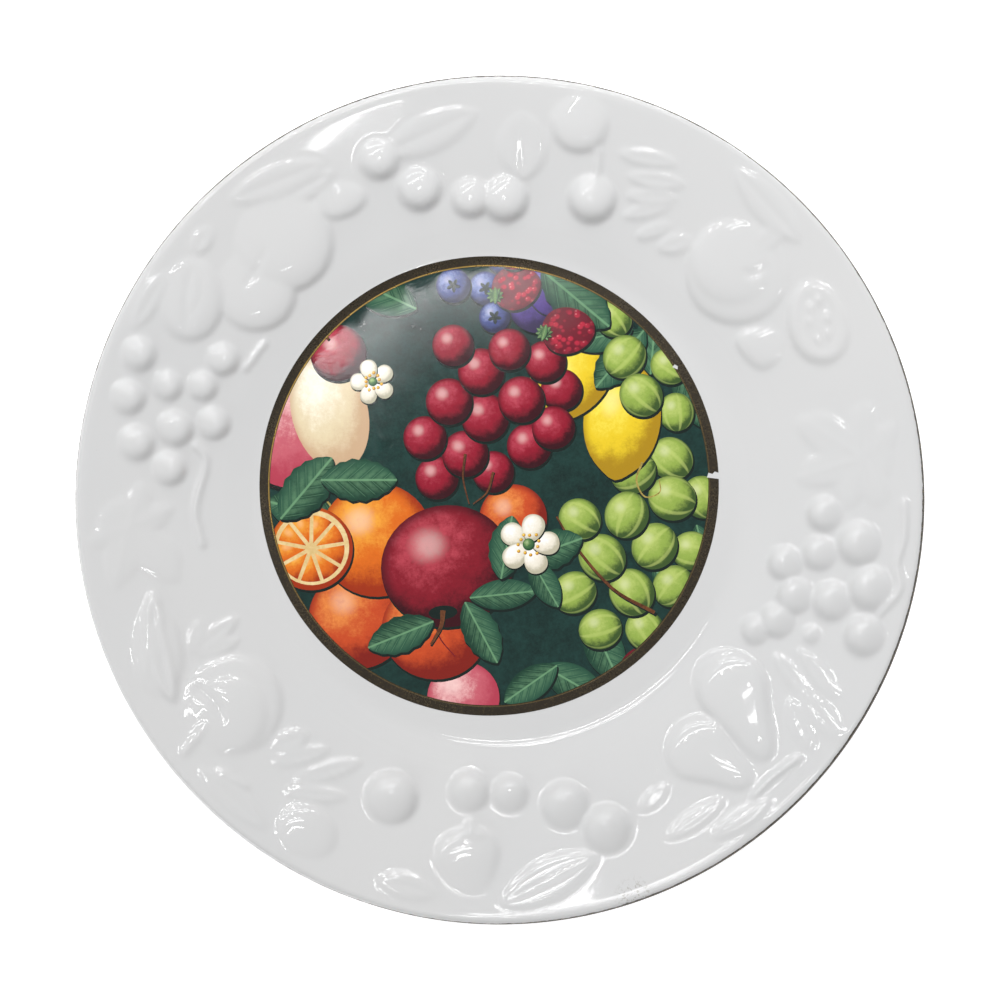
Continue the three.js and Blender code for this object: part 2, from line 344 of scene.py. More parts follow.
def painted_fruit_group():
    """A round fruit painted with light from the upper left, a stippled dark edge and a soft shine."""
    r, given, close = shared_group(
        "painted fruit",
        {"Lit": (VECTOR, None), "Form": (VECTOR, None), "Stripes": (NUMBER, 0.0), "Shine": (NUMBER, 0.6),
         **PAINTS_IN},
        {"Colour": COLOUR},
    )
    x, y, _ = r.parts(given["Lit"])
    far = r.length_of(given["Lit"])
    depth = r.math("SQRT", r.math("MAXIMUM", r.minus(1.0, r.times(far, far)), 0.0))
    light = r.plus(r.plus(r.times(x, -0.34), r.times(y, 0.40)), r.times(depth, 0.80))
    rough = r.minus(given["Grain"], 0.5)
    tone = r.plus(light, r.times(rough, 1.15))
    shaded = r.blend(r.step(tone, 0.10, 0.66), given["Deep"], given["Body"])
    lit = r.blend(r.step(tone, 0.62, 1.08, 0.0, 0.85), shaded, given["Bright"])
    across, along, _ = r.parts(given["Form"])
    bow = r.math("SQRT", r.math("MAXIMUM", r.minus(1.04, r.times(across, across)), 0.02))
    meridian = r.math("SINE", r.times(r.math("ARCSINE", r.math("DIVIDE", along, bow)), 7.0))
    stripe = r.times(r.step(meridian, 0.55, 1.0), r.times(given["Stripes"], 0.5))
    striped = r.blend(stripe, lit, given["Bright"])
    edge = r.step(r.plus(far, r.times(rough, 0.22)), 0.80, 1.02, 0.0, 0.62)
    rimmed = r.blend(edge, striped, given["Deep"])
    spot = r.length_of(r.shifted(given["Lit"], (0.30, -0.34, 0.0)))
    glow = r.step(r.plus(spot, r.times(rough, 0.35)), 0.05, 0.36, 1.0, 0.0)
    pale = r.blend(0.55, given["Bright"], paint("#fff8ee"))
    return close({"Colour": r.blend(r.times(glow, given["Shine"]), rimmed, pale)})


def painted_leaf_group():
    """A leaf with a pale midrib, side veins, one half in shade and a darker edge."""
    r, given, close = shared_group(
        "painted leaf",
        {"Form": (VECTOR, None), "Veins": (NUMBER, 1.0), **PAINTS_IN},
        {"Colour": COLOUR},
    )
    along, across, _ = r.parts(given["Form"])
    off = r.math("ABSOLUTE", across)
    rough = r.minus(given["Grain"], 0.5)
    width = r.math("POWER", r.math("MAXIMUM", r.minus(1.02, r.times(along, along)), 0.02), 0.75)
    reach = r.math("DIVIDE", off, width)
    side = r.step(across, -0.05, 0.05)
    tone = r.plus(r.plus(r.times(side, 0.30), 0.22), r.times(rough, 1.5))
    shaded = r.blend(r.step(tone, 0.05, 0.6), given["Deep"], given["Body"])
    run = r.minus(r.times(along, 3.2), r.times(off, 1.9))
    wave = r.math("ABSOLUTE", r.minus(r.math("FRACT", run), 0.5))
    between = r.times(r.step(wave, 0.5, 0.1), r.step(reach, 0.95, 0.2))
    puffed = r.blend(r.times(between, r.plus(0.34, rough)), shaded, given["Bright"])
    vein = r.times(r.step(wave, 0.43, 0.5), r.step(reach, 0.92, 0.7))
    rib = r.step(off, 0.075, 0.03)
    lines = r.times(r.math("MAXIMUM", r.times(vein, 0.45), r.times(rib, 0.8)), given["Veins"])
    veined = r.blend(lines, puffed, given["Bright"])
    edge = r.step(r.plus(reach, r.times(rough, 0.2)), 0.86, 1.0, 0.0, 0.5)
    return close({"Colour": r.blend(edge, veined, given["Deep"])})


def painted_beads_group():
    """A berry of many small beads, each with its own shine and a dark gap round it."""
    r, given, close = shared_group(
        "painted beads",
        {"Form": (VECTOR, None), "Touch": (NUMBER, 0.0), **PAINTS_IN},
        {"Colour": COLOUR},
    )
    place = r.shifted(given["Form"], r.joined(given["Touch"], given["Touch"]))
    bead = r.cells(place, 4.2)
    lift = r.cells(r.shifted(place, (0.045, -0.05, 0.0)), 4.2)
    far = r.length_of(given["Form"])
    rough = r.minus(given["Grain"], 0.5)
    gap = r.step(r.plus(bead, r.times(rough, 0.15)), 0.34, 0.60, 0.0, 0.9)
    beaded = r.blend(gap, given["Body"], given["Deep"])
    shone = r.blend(r.step(lift, 0.05, 0.24, 0.75, 0.0), beaded, given["Bright"])
    return close({"Colour": r.blend(r.step(far, 0.55, 1.05, 0.0, 0.75), shone, given["Deep"])})


def bare_material(name):
    """A material with nothing in it but its Principled shader."""
    material = bpy.data.materials.new(name)
    material.use_nodes = True
    tree = material.node_tree
    shader = tree.nodes["Principled BSDF"]
    return material, Recipe(tree), shader


# Middle of the rubbed specks on the lip
RUBBED_SPOT = (0.0335, -0.0985)


def glaze_material(plate, surface, gilt):
    """White glaze over the whole body, with the worn gilt line on the lip."""
    material, r, shader = bare_material("white glaze")
    place = r.own_place()
    x, y, z = r.parts(place)
    radius = r.length_of(r.joined(x, y))
    cloud = r.noise(place, 18.0, 2.0)
    tint = r.blend(r.step(cloud, 0.3, 0.7, 0.0, 0.35), (*plate.glaze_colour, 1.0), paint("#c9cacb"))
    speck = r.step(r.cells(place, 95.0), 0.022, 0.012)
    rare = r.step(r.noise(place, 40.0, 1.0), 0.60, 0.66)
    specked = r.blend(r.times(r.times(speck, rare), 0.7), tint, paint("#6d675e"))
    right, up = r.math("DIVIDE", x, radius), r.math("DIVIDE", y, radius)
    lean = r.plus(r.plus(r.times(right, 0.60), r.times(r.times(right, up), -0.70)), 1.0)
    worn_place = r.length_of(r.shifted(place, (-RUBBED_SPOT[0], -RUBBED_SPOT[1], -plate.height)))
    worn = r.times(r.step(worn_place, 0.0065, 0.002), r.step(r.noise(place, 1100.0, 2.0, 0.7), 0.54, 0.60))
    specked = r.blend(r.times(worn, 0.55), specked, paint("#8d887f"))
    ragged = r.times(r.minus(r.noise(place, 420.0, 3.0, 0.7), 0.5), 0.0005)
    inner = r.minus(plate.diameter / 2, r.times(lean, plate.gilt_width))
    on_lip = r.step(r.minus(r.plus(radius, ragged), inner), -0.00006, 0.00006)
    low = plate.height - plate.lip * 0.78
    line = r.times(on_lip, r.step(z, low - 0.0002, low))
    gilded = r.group(gilt, {"Place": place, "Gilt": (*plate.gilt_colour, 1.0), "Wear": 0.6})
    smooth = r.step(r.noise(place, 30.0, 2.0), 0.3, 0.7, 0.03, 0.05)
    rough = r.add("ShaderNodeMix", {0: line, 2: smooth, 3: gilded["Roughness"]}, data_type="FLOAT")
    height = r.group(surface, {"Place": place, "Waves": 1.0, "Peel": 1.0, "Pits": 1.0})["Height"]
    r.feed(shader, {"Base Color": r.blend(line, specked, gilded["Colour"]), "Roughness": rough,
                    "Metallic": r.times(line, 0.35), "Normal": r.bumped(height, GLAZE_BUMP), "IOR": 1.52})
    return material


def bare_foot_material(plate):
    """The unglazed standing face of the foot ring."""
    material, r, shader = bare_material("bare foot")
    place = r.own_place()
    dirt = r.step(r.noise(place, 120.0, 4.0, 0.7), 0.4, 0.75)
    worn = r.blend(r.times(dirt, 0.5), (*plate.foot_colour, 1.0), paint("#9c8f7c"))
    grit = r.noise(place, 2200.0, 3.0, 0.7)
    r.feed(shader, {"Base Color": worn, "Roughness": r.step(dirt, 0.0, 1.0, 0.62, 0.8),
                    "Normal": r.bumped(grit, 0.0001, 0.6)})
    return material


def picture_material(picture, surface):
    """The painted picture under its thin coat: each figure brings its paints and its way of painting."""
    material, r, shader = bare_material("printed picture")
    place = r.own_place()
    lit = r.add("ShaderNodeUVMap", uv_map="lit")
    form = r.add("ShaderNodeUVMap", uv_map="form")
    touch = r.attribute("touch", "Fac")
    paints = {"Deep": r.attribute("deep", "Color"), "Body": r.attribute("body", "Color"),
              "Bright": r.attribute("bright", "Color")}
    round_share, leaf_share, bead_share = r.parts(r.attribute("habit", "Vector"))
    stripes, shine, _ = r.parts(r.attribute("finish", "Vector"))
    brush = r.group(brush_grain_group(), {"Place": place, "Stroke": form, "Touch": touch})
    grain = r.plus(r.times(r.minus(brush["Grain"], 0.5), picture.grain * 2), 0.5)
    wash = r.step(grain, 0.30, 0.70)
    flat = r.blend(wash, paints["Deep"], paints["Body"])
    given = {**paints, "Grain": grain}
    fruit = r.group(painted_fruit_group(),
                   {"Lit": lit, "Form": form, "Stripes": stripes, "Shine": shine, **given})
    leaf = r.group(painted_leaf_group(), {"Form": form, "Veins": 1.0, **given})
    beads = r.group(painted_beads_group(), {"Form": form, "Touch": touch, **given})
    colour_now = r.blend(round_share, flat, fruit["Colour"])
    colour_now = r.blend(leaf_share, colour_now, leaf["Colour"])
    colour_now = r.blend(bead_share, colour_now, beads["Colour"])
    coat = {"Place": place, "Waves": 0.6, "Peel": 3.5, "Fineness": 2.4, "Pits": 0.3}
    height = r.group(surface, coat)["Height"]
    r.feed(shader, {"Base Color": colour_now, "Roughness": r.step(brush["Stipple"], 0.3, 0.7, 0.05, 0.12),
                    "Normal": r.bumped(height, GLAZE_BUMP), "IOR": 1.5})
    return material


def ring_material(picture, gilt):
    """The dark gilt ring, with a painted highlight along its inner edge: a thin golden line where the print's
    edge catches light, brightest at the upper left.
    """
    material, r, shader = bare_material("gilt ring")
    place = r.own_place()
    x, y, _ = r.parts(r.shifted(place, (-picture.centre_x, -picture.centre_y, 0.0)))
    radius = r.length_of(r.joined(x, y))
    gilded = r.group(gilt, {"Place": place, "Gilt": (*picture.ring_colour, 1.0), "Wear": 0.2})
    inward = r.minus(radius, picture.radius)
    line = r.times(r.step(inward, 0.00010, 0.00022), r.step(inward, 0.00050, 0.00036))
    # Painted highlight: the thin line inside the ring is bright at the upper left, where light catches the
    # print's edge, and faint elsewhere
    lit_upper_left = r.step(r.minus(y, x), 0.0, 0.055)
    edge_glint = r.times(line, r.plus(r.times(lit_upper_left, 0.7), 0.12))
    coloured = r.blend(edge_glint, gilded["Colour"], (*picture.ring_glint_colour, 1.0))
    height = r.plus(r.times(gilded["Sparkle"], 0.3), r.times(line, -0.4))
    r.feed(shader, {"Base Color": coloured, "Roughness": gilded["Roughness"],
                    "Metallic": r.step(edge_glint, 0.0, 1.0, 0.55, 0.9), "Normal": r.bumped(height, GILT_BUMP)})
    return material


def arc(centre_out, centre_up, radius, start, end, steps):
    """Points of a circular arc in the profile's plane, angles in degrees from outwards."""
    turns = np.radians(np.linspace(start, end, steps + 1))
    return [(centre_out + radius * math.cos(t), centre_up + radius * math.sin(t)) for t in turns]


def rounded_corner(before, corner, after, radius, steps):
    """Points of the arc that rounds the corner between two straight runs of a profile."""
    corner = Vector(corner)
    back_run = (Vector(before) - corner).normalized()
    on_run = (Vector(after) - corner).normalized()
    half = back_run.angle(on_run) / 2
    centre = corner + (back_run + on_run).normalized() * (radius / math.sin(half))
    start = corner + back_run * (radius / math.tan(half)) - centre
    end = corner + on_run * (radius / math.tan(half)) - centre
    first = math.atan2(start.y, start.x)
    turn = (math.atan2(end.y, end.x) - first + math.pi) % (2 * math.pi) - math.pi
    return arc(centre.x, centre.y, radius, math.degrees(first), math.degrees(first + turn), steps)


def evenly_between(start, end, parts):
    """The points that divide a straight run of a profile into equal parts."""
    return [tuple(Vector(start).lerp(Vector(end), i / parts)) for i in range(1, parts)]


class TurnedBody:
    """The plate's turned profile in millimetres, drawn from its settings."""

    # Radii and widths in millimetres, slopes in degrees; the foot's side as width and share of its height
    fillet = 20.0
    edge = 15.0
    wall_angle = 14.0
    under_angle = 22.0
    under_radius = 6.0
    foot_side = ((2.2, 1.0), (1.85, 0.76), (1.6, 0.5), (1.4, 0.24), (1.3, 0.1), (0.8, 0.0))
    lip_roll = 0.7
    lip_turn = 48.0

    def __init__(self, plate):
        self.rim = plate.diameter / MM / 2
        self.height = plate.height / MM
        self.well = plate.well_edge / MM / 2
        self.wall = plate.wall / MM
        self.lip = plate.lip / MM / 2
        self.foot = plate.foot_diameter / MM / 2
        self.foot_height = plate.foot_height / MM
        self.floor = self.foot_height + self.wall
        self.well_top = self.floor + plate.well_depth / MM
        self.lip_start = self.rim - self.lip
        self.slope = math.atan2(self.height - self.well_top, self.lip_start - self.well)
        wall_slope = math.radians(self.wall_angle)
        self.wall_run = plate.well_depth / MM / math.tan(wall_slope)
        self.fillet_start = self.well - self.wall_run - self.fillet * math.tan(wall_slope / 2)

    def front(self, rings):
        """From the well's flat floor out over the rim to the lip's outer curve."""
        floor_end = (self.fillet_start * 0.5, self.floor)
        well_corner = (self.well - self.wall_run, self.floor)
        rim_corner = (self.well, self.well_top)
        lip_top = (self.lip_start, self.height)
        roll_start = (self.lip_start - self.lip_roll, self.height - self.lip_roll * math.tan(self.slope))
        hollow = rounded_corner(floor_end, well_corner, rim_corner, self.fillet, 8)
        crest = rounded_corner(well_corner, rim_corner, lip_top, self.edge, 1)
        wall = evenly_between(hollow[-1], crest[0], 6)
        rim = evenly_between(crest[-1], roll_start, rings)
        return [floor_end, *hollow, *wall, *crest, *rim, roll_start, *self.rolled_lip(roll_start)]

    def rolled_lip(self, start):
        """The soft roll from the rim over the lip's top to its outer curve."""
        turn = math.radians(self.lip_turn)
        end = (self.lip_start + self.lip * math.cos(turn), self.height - self.lip + self.lip * math.sin(turn))
        fall = -1 / math.tan(turn)
        rise = math.tan(self.slope)
        middle_out = (end[1] - start[1] + rise * start[0] - fall * end[0]) / (rise - fall)
        middle = (middle_out, start[1] + rise * (middle_out - start[0]))
        points = []
        for t in (0.2, 0.4, 0.6, 0.8, 1.0):
            points.append(tuple((1 - t) ** 2 * a + 2 * t * (1 - t) * b + t * t * c
                                for a, b, c in zip(start, middle, end)))
        return points

    def back(self):
        """From the lip's outermost curve in under the plate to the flat underside."""
        foot, top = self.foot, self.foot_height
        lip = arc(self.lip_start, self.height - self.lip, self.lip, self.lip_turn, -90, 6)[1:]
        angle = math.radians(self.under_angle)
        corner = (self.well + self.wall * math.tan(angle / 2), self.well_top - self.wall)
        wall_foot = (corner[0] - (corner[1] - top) / math.tan(angle), top)
        return [
            *lip, *rounded_corner(lip[-1], corner, wall_foot, self.under_radius, 3), wall_foot,
            *((foot + aside, up * top) for aside, up in self.foot_side),
            *((foot - aside, up * top) for aside, up in reversed(self.foot_side)),
            (foot * 0.5, top),
        ]


# Berries of the garland: turn in degrees from the right, distance out from the well's edge, radius
BERRIES = [
    (153, 9.5, 4), (158, 28.7, 4.2), (159, 11.4, 3.7), (161, 19.4, 3.7), (164.5, 27.7, 4.2),
    (165, 6, 4), (167.5, 14.8, 4.4), (171, 23.4, 4.4), (174.5, 14.7, 4.2),
    (357.5, 12.9, 4.2), (353, 21.9, 5.2), (350.5, 12.7, 4.2), (347.5, 4.9, 4.2), (346.5, 26.5, 5.2),
    (343, 18.3, 4.7), (342, 9.3, 4.4), (339.5, 28.5, 4.9), (336.5, 7.5, 4.2), (336.5, 16.4, 2.2),
    (109.5, 21.9, 4.9), (104.5, 12.2, 5.4), (95.5, 7.8, 4.9), (89, 7.2, 5.7), (73, 10.6, 5.9),
    (250, 11, 6.4), (264, 5.2, 4.9), (272, 5.5, 4.4), (282, 9.9, 5.7), (288, 18.1, 5.8), (333, 3.6, 3.5),
]

# Leaves of the garland: turn, distance out, half length, half width, heading of the tip, teeth
LEAVES = [
    (125, 28.4, 12.3, 4.4, 22, 9), (122.5, 23.6, 9, 3.5, 28, 0), (150.4, 32, 8, 2.8, 60, 0),
    (139, 30, 3.7, 2.6, 60, 0), (100.8, 24.8, 12.5, 5, 25, 0), (86.3, 20.2, 8.3, 6.5, 272, 0),
    (66.6, 24.4, 7.5, 2.2, 170, 0), (63.9, 20.4, 7.3, 2.4, 172, 0), (63.4, 16.3, 6.5, 2, 178, 0),
    (63, 13, 6.5, 2, 195, 0), (60.3, 9.2, 5, 1.8, 200, 0), (55.6, 9.3, 4.4, 2.6, 15, 0),
    (47.7, 30.7, 12, 4.2, 312, 0), (44.1, 25.9, 5, 2.6, 40, 0),
    (328.9, 17.1, 7.1, 2.4, 309, 0), (331.3, 22.2, 7.8, 2.4, 307, 0), (326.1, 27.9, 8.3, 3, 309, 0),
    (323.1, 25.3, 7, 2.8, 293, 0), (301.6, 24.8, 8.4, 2.4, 34, 9), (307.1, 31.1, 8.6, 2.6, 33, 9),
    (297.3, 15.4, 4.7, 1.9, 43, 0),
    (277.3, 27, 13.2, 5.2, 27, 0), (256.4, 30.5, 7.5, 3.4, 345, 0),
    (228.2, 31.2, 11, 3.2, 318, 9), (232.1, 12.8, 7.6, 2.2, 14, 0), (237.5, 12, 9, 2.4, 15, 0),
    (237.9, 18.3, 8, 2.2, 355, 0), (228.9, 11.6, 4.8, 3, 20, 0),
    (205.4, 10.7, 7.2, 2.4, 38, 0), (204.2, 14.9, 4.4, 2, 74, 0), (207.6, 11.2, 5.6, 1.9, 21, 0),
]

# Vine leaves: turn, distance out, heading and length of each lobe
VINE_LEAVES = [
    (184.1, 24.7, [(22, 12), (68, 12), (205, 10.5), (260, 15.5), (315, 18.5)]),
    (6.6, 22.6, [(45, 12), (88, 14.5), (147, 19), (197, 17), (250, 13.5), (293, 13.5)]),
]

# Stems and tendrils: turn and distance out along each line
TENDRILS = [
    [(169.8, 9.1), (172.7, 5.8), (181.5, 7.9), (188.6, 7)],
    [(146.2, 2.5), (152.7, 3.4)],
    [(359.6, 32.1), (355, 32.5), (350.8, 31.6), (347.4, 33.4), (343.3, 30.3)],
    [(73.3, 15.9), (74.2, 22.2)],
    [(217.3, 22.4), (218.6, 32.2)],
    [(224.1, 28.6), (228.4, 26.8)],
    [(310.8, 28.6), (315, 28.4), (319.1, 29.7)],
]


# How much lower a form is at its side by the lip, and higher at its side by the well
FRUIT_LEAN = 0.8
LEAF_LEAN = 0.5
BERRY_LEAN = 0.6

# Width of the rim for which the garland's tables are written
TABLED_RIM = 35.7


def half_round(distance_squared):
    return np.sqrt(np.clip(1 - distance_squared, 0, None))


class Garland:
    """Height in millimetres of the cast forms over the plain rim, at points given in plan."""

    def __init__(self, x, y, body, plate):
        self.x = x
        self.y = y
        self.body = body
        self.scale = (body.lip_start - body.well) / TABLED_RIM
        self.berry_rise = plate.berry_rise
        self.fruit_rise = plate.fruit_rise / MM
        self.leaf_rise = plate.leaf_rise / MM
        self.height = np.zeros_like(x)

    def place(self, turn, out):
        radius = self.body.well + out * self.scale
        c, s = way(turn)
        return radius * c, radius * s

    def reach(self, centre, heading, reach):
        """The points near a form, and where they lie along and across its heading."""
        near = np.nonzero((abs(self.x - centre[0]) < reach) & (abs(self.y - centre[1]) < reach))[0]
        dx, dy = self.x[near] - centre[0], self.y[near] - centre[1]
        c, s = way(heading)
        return near, (dx * c + dy * s) / self.scale, (dy * c - dx * s) / self.scale

    def add(self, turn, out, heading, reach, form, lean):
        """Lays a form on the rim, leaning to the lip: the higher of it and what lies there already shows."""
        near, along, across = self.reach(self.place(turn, out), heading, reach * self.scale * 1.3)
        outwards = math.radians(turn - heading)
        outer = (along * math.cos(outwards) + across * math.sin(outwards)) / reach
        rise = form(along, across) * np.clip(1 - lean * outer, 0, None) * self.scale
        self.height[near] = np.maximum(self.height[near], rise)

    def cut(self, turn, out, heading, reach, form):
        """Presses a groove or dimple into what lies there already."""
        near, along, across = self.reach(self.place(turn, out), heading, reach * self.scale * 1.3)
        self.height[near] = np.maximum(self.height[near] - form(along, across) * self.scale, 0)

    def berry(self, turn, out, radius):
        def form(a, b):
            return self.berry_rise * radius * half_round((a * a + b * b) / radius ** 2)

        self.add(turn, out, 0, radius, form, BERRY_LEAN)

    def drop(self, turn, out, half, wide, taper, heading, rise=1.0, roof=0.36):
        """A flat egg-shaped fruit with a steep edge, narrower towards its tip."""
        def form(a, b):
            u = a / half
            v = b / (wide * (1 - taper * np.tanh(1.3 * u)))
            return rise * self.fruit_rise * np.clip(1 - u * u - v * v, 0, None) ** roof

        self.add(turn, out, heading, max(half, wide), form, FRUIT_LEAN)

    def blade(self, turn, out, half, wide, heading, teeth=0, rise=None, bend=0.0):
        """A leaf in two soft halves beside a sunken midrib, with side veins and a toothed or plain edge."""
        rise = self.leaf_rise if rise is None else rise

        def form(a, b):
            u = a / half
            b = b - bend * (1 - u * u)
            wave = np.abs((u * teeth / 2) % 1 - 0.5) * 2 if teeth else 0.5
            width = wide * np.clip(1 - u * u, 0, None) ** 0.75 * (0.9 + 0.22 * wave)
            v = np.abs(b) / np.maximum(width, 1e-6)
            sheet = np.clip(1 - v ** 6, 0, None) ** 0.5 * (u * u < 1)
            cross = 0.82 + 0.18 * np.sin(np.pi * np.clip(v, 0, 1)) - 0.30 * np.exp(-(b / 0.55) ** 2)
            veins = 0.07 * np.cos(2 * np.pi * (a * 0.42 - np.abs(b) * 0.36)) * np.clip(v * 3, 0, 1)
            return rise * sheet * (cross + veins)

        self.add(turn, out, heading, half, form, LEAF_LEAN)

    def vine_leaf(self, turn, out, lobes):
        """A broad lobed leaf: one sheet with a fine ridge to each lobe's tip and a toothed edge."""
        size = max(reach for _, reach in lobes)

        def form(a, b):
            far, bearing = np.hypot(a, b), np.degrees(np.arctan2(b, a))
            edge = np.full_like(a, 0.4 * size)
            ridge = np.zeros_like(a)
            for heading, reach in lobes:
                off = np.abs((bearing - heading + 180) % 360 - 180)
                edge = np.maximum(edge, reach * (1 - 0.55 * (off / 34) ** 1.3))
                aside = far * np.sin(np.radians(np.minimum(off, 90)))
                crest = np.exp(-(aside / 0.6) ** 2) * (off < 60) * np.clip(1.1 - far / reach, 0, 1)
                ridge = np.maximum(ridge, crest)
            teeth = 0.96 + 0.08 * np.abs((bearing * 14 / 360) % 1 - 0.5) * 2
            share_out = far / (edge * teeth)
            sheet = np.clip(1 - share_out ** 6, 0, None) ** 0.5
            puff = 0.10 * np.sin(np.pi * np.clip(share_out, 0, 1))
            return self.leaf_rise * sheet * (0.75 + puff + 0.38 * ridge)

        self.add(turn, out, 0, size, form, LEAF_LEAN)

    def bead(self, points, radius=0.8):
        """A round stem along a line of places."""
        places = np.array([self.place(turn, out) for turn, out in points])
        line = smooth_line(places, 10)
        for start, end in zip(line[:-1], line[1:]):
            middle = (start + end) / 2
            reach = np.linalg.norm(end - start) / 2 + radius * self.scale
            near = np.nonzero((abs(self.x - middle[0]) < reach) & (abs(self.y - middle[1]) < reach))[0]
            gap = end - start
            share_along = np.clip(((self.x[near] - start[0]) * gap[0] + (self.y[near] - start[1]) * gap[1])
                                  / (gap @ gap), 0, 1)
            off = np.hypot(self.x[near] - start[0] - share_along * gap[0],
                           self.y[near] - start[1] - share_along * gap[1])
            rise = radius * self.scale * half_round((off / (radius * self.scale)) ** 2)
            self.height[near] = np.maximum(self.height[near], rise)

    def groove(self, turn, out, heading, reach, bow, depth=0.5, wide=0.7):
        """A curved crease pressed into a fruit: bow is how far its middle stands off the straight line."""
        def form(a, b):
            u = a / reach
            return depth * np.exp(-((b - bow * (1 - u * u)) / wide) ** 2) * np.clip(1.3 - 1.3 * u * u, 0, 1)

        self.cut(turn, out, heading, reach, form)

    def lay_all(self):
        """Lays the whole garland, from the leaves below to the fruit on top."""
        for leaf in LEAVES:
            self.blade(*leaf)
        for leaf in VINE_LEAVES:
            self.vine_leaf(*leaf)
        for line in TENDRILS:
            self.bead(line)
        self.lay_apples()
        self.lay_cut_fruit()
        self.lay_pears()
        self.lay_small_fruit()
        for berry in BERRIES:
            self.berry(*berry)

    def lay_apples(self):
        """The two-lobed apple at the upper left, the one at the lower left and the peach at the right."""
        self.drop(130, 15.4, 12, 12, 0, 0, rise=1.1)
        self.drop(139.4, 12, 9.9, 9.9, 0, 0)
        self.groove(136.5, 16.6, 62, 6.5, -1.2, depth=0.3, wide=0.9)
        self.drop(43.8, 13.7, 12.7, 12.7, 0, 0, rise=0.8)
        self.drop(45.3, 14.6, 10.8, 10.8, 0, 0, rise=1.1, roof=0.3)
        self.groove(42.5, 17.5, 20, 4.0, -1.5, depth=0.3, wide=1.0)
        self.drop(217.5, 15.8, 12.3, 12.3, 0, 0, rise=0.75)
        self.drop(218.3, 17.4, 9.6, 9.9, 0, 0, rise=1.1, roof=0.3)
        self.groove(215.0, 20.6, 312, 6.5, 1.6, depth=0.5, wide=1.1)

    def lay_cut_fruit(self):
        """The halved fruit with its hollow and seeds, and the bud with its overlapping petals."""
        self.drop(29.2, 22.5, 10.3, 7.3, 0.1, 105, rise=0.8, roof=0.3)
        self.cut(29.2, 22.5, 105, 9, lambda a, b: 0.35 * np.clip(
            (1 - (a / 8.2) ** 2 - (b / 5.2) ** 2) * 3, 0, 1))
        for along, across in ((-4.2, 0.3), (-1.4, -1.9), (-1.0, 1.8), (1.9, -1.7), (2.2, 1.6), (5.0, 0.0)):
            turn = 29.2 + across * 0.62
            out = 22.5 + along * 0.26 + across * 0.2
            self.add(turn, out, 105, 8, lambda a, b, u=along, v=across: 1.2 * half_round(
                ((a - u) / 1.3) ** 2 + ((b - v) / 0.75) ** 2) ** 0.5 * (
                ((a - u) / 1.3) ** 2 + ((b - v) / 0.75) ** 2 < 1), 0.3)
        self.drop(203.6, 24.8, 11.4, 6.2, 0.1, 95, rise=0.6)
        self.blade(201.2, 25.0, 10.8, 3.2, 88, rise=1.15, bend=-0.8)
        self.blade(205.6, 24.2, 10.4, 3.2, 102, rise=1.3, bend=0.8)

    def lay_pears(self):
        """The two pears at the lower right, the second one under the first."""
        pears = ((309.3, 15, 11.5, 8, 326, 1.0), (319.3, 11.1, 14.4, 8.4, 296, 1.3))
        for turn, out, half, wide, heading, rise in pears:
            def form(a, b, half=half, wide=wide, rise=rise):
                u = a / half
                neck = 0.86 - 0.30 * np.tanh(2.4 * u)
                v = b / (wide * neck)
                return rise * self.fruit_rise * np.clip(1 - np.abs(u) ** 2.6 - v * v, 0, None) ** 0.38

            self.add(turn, out, heading, half, form, FRUIT_LEAN / 3)

    def lay_small_fruit(self):
        """Fig, nut, plum, strawberry, kidney-shaped and oval fruit."""
        self.drop(147, 23.4, 10.2, 7.8, 0.05, 85, rise=0.9)
        self.groove(147, 23.4, 86, 9.0, 1.1, depth=0.35, wide=0.8)
        self.groove(146.2, 25.2, 80, 8.0, -3.4, depth=0.2, wide=0.6)
        self.drop(118, 16.5, 6.4, 4.4, 0.1, 10, rise=0.75)
        self.groove(118.9, 17.4, 96, 3.6, 0.8, depth=0.25, wide=0.6)
        self.drop(78, 27.4, 7, 7, 0, 0, rise=0.9)
        self.drop(30.8, 7.1, 6, 5, 0.3, 160, rise=0.6)
        self.drop(239.8, 27, 7.6, 6.2, 0, 330, rise=0.7)
        self.drop(265, 22.1, 8.2, 7.6, 0.25, 280, rise=0.9)
        self.cut(265, 22.1, 280, 8, lambda a, b: 0.2 * np.clip(
            np.cos(np.pi * (a / 1.55 + b / 1.8)) * np.cos(np.pi * (a / 1.55 - b / 1.8)), 0, 1) ** 2)
        for fan in (-58, -28, 0, 28, 58):
            turn, out = 265.2 + fan * 0.02, 15.6
            self.blade(turn, out, 3.1, 1.3, 280 + fan, rise=1.9)


def smooth_line(points, steps):
    """Points of a smooth line through the given ones, with so many steps from one to the next."""
    points = np.asarray(points, float)
    padded = np.vstack([2 * points[0] - points[1], points, 2 * points[-1] - points[-2]])
    line = []
    for i in range(1, len(padded) - 2):
        before, start, end, after = padded[i - 1:i + 3]
        for t in np.arange(steps) / steps:
            line.append(0.5 * (2 * start + (end - before) * t
                               + (2 * before - 5 * start + 4 * end - after) * t ** 2
                               + (3 * start - before - 3 * end + after) * t ** 3))
    line.append(points[-1])
    return np.array(line)


def mesh_object(name, bm, materials):
    """Turns a bmesh into an object at the origin, with its materials."""
    mesh = bpy.data.meshes.new(name)
    bm.to_mesh(mesh)
    bm.free()
    for material in materials:
        mesh.materials.append(material)
    piece = bpy.data.objects.new(name, mesh)
    bpy.context.scene.collection.objects.link(piece)
    return piece


SPIN_STEPS = 864
SECTORS = 12
RIM_RINGS = 67
CREASE = math.radians(32)

# In millimetres: the garland dies out over so much beside the lip, and the foot's bare face is so wide
LIP_FADE = 1.2
BARE_HALF_WIDTH = 0.9


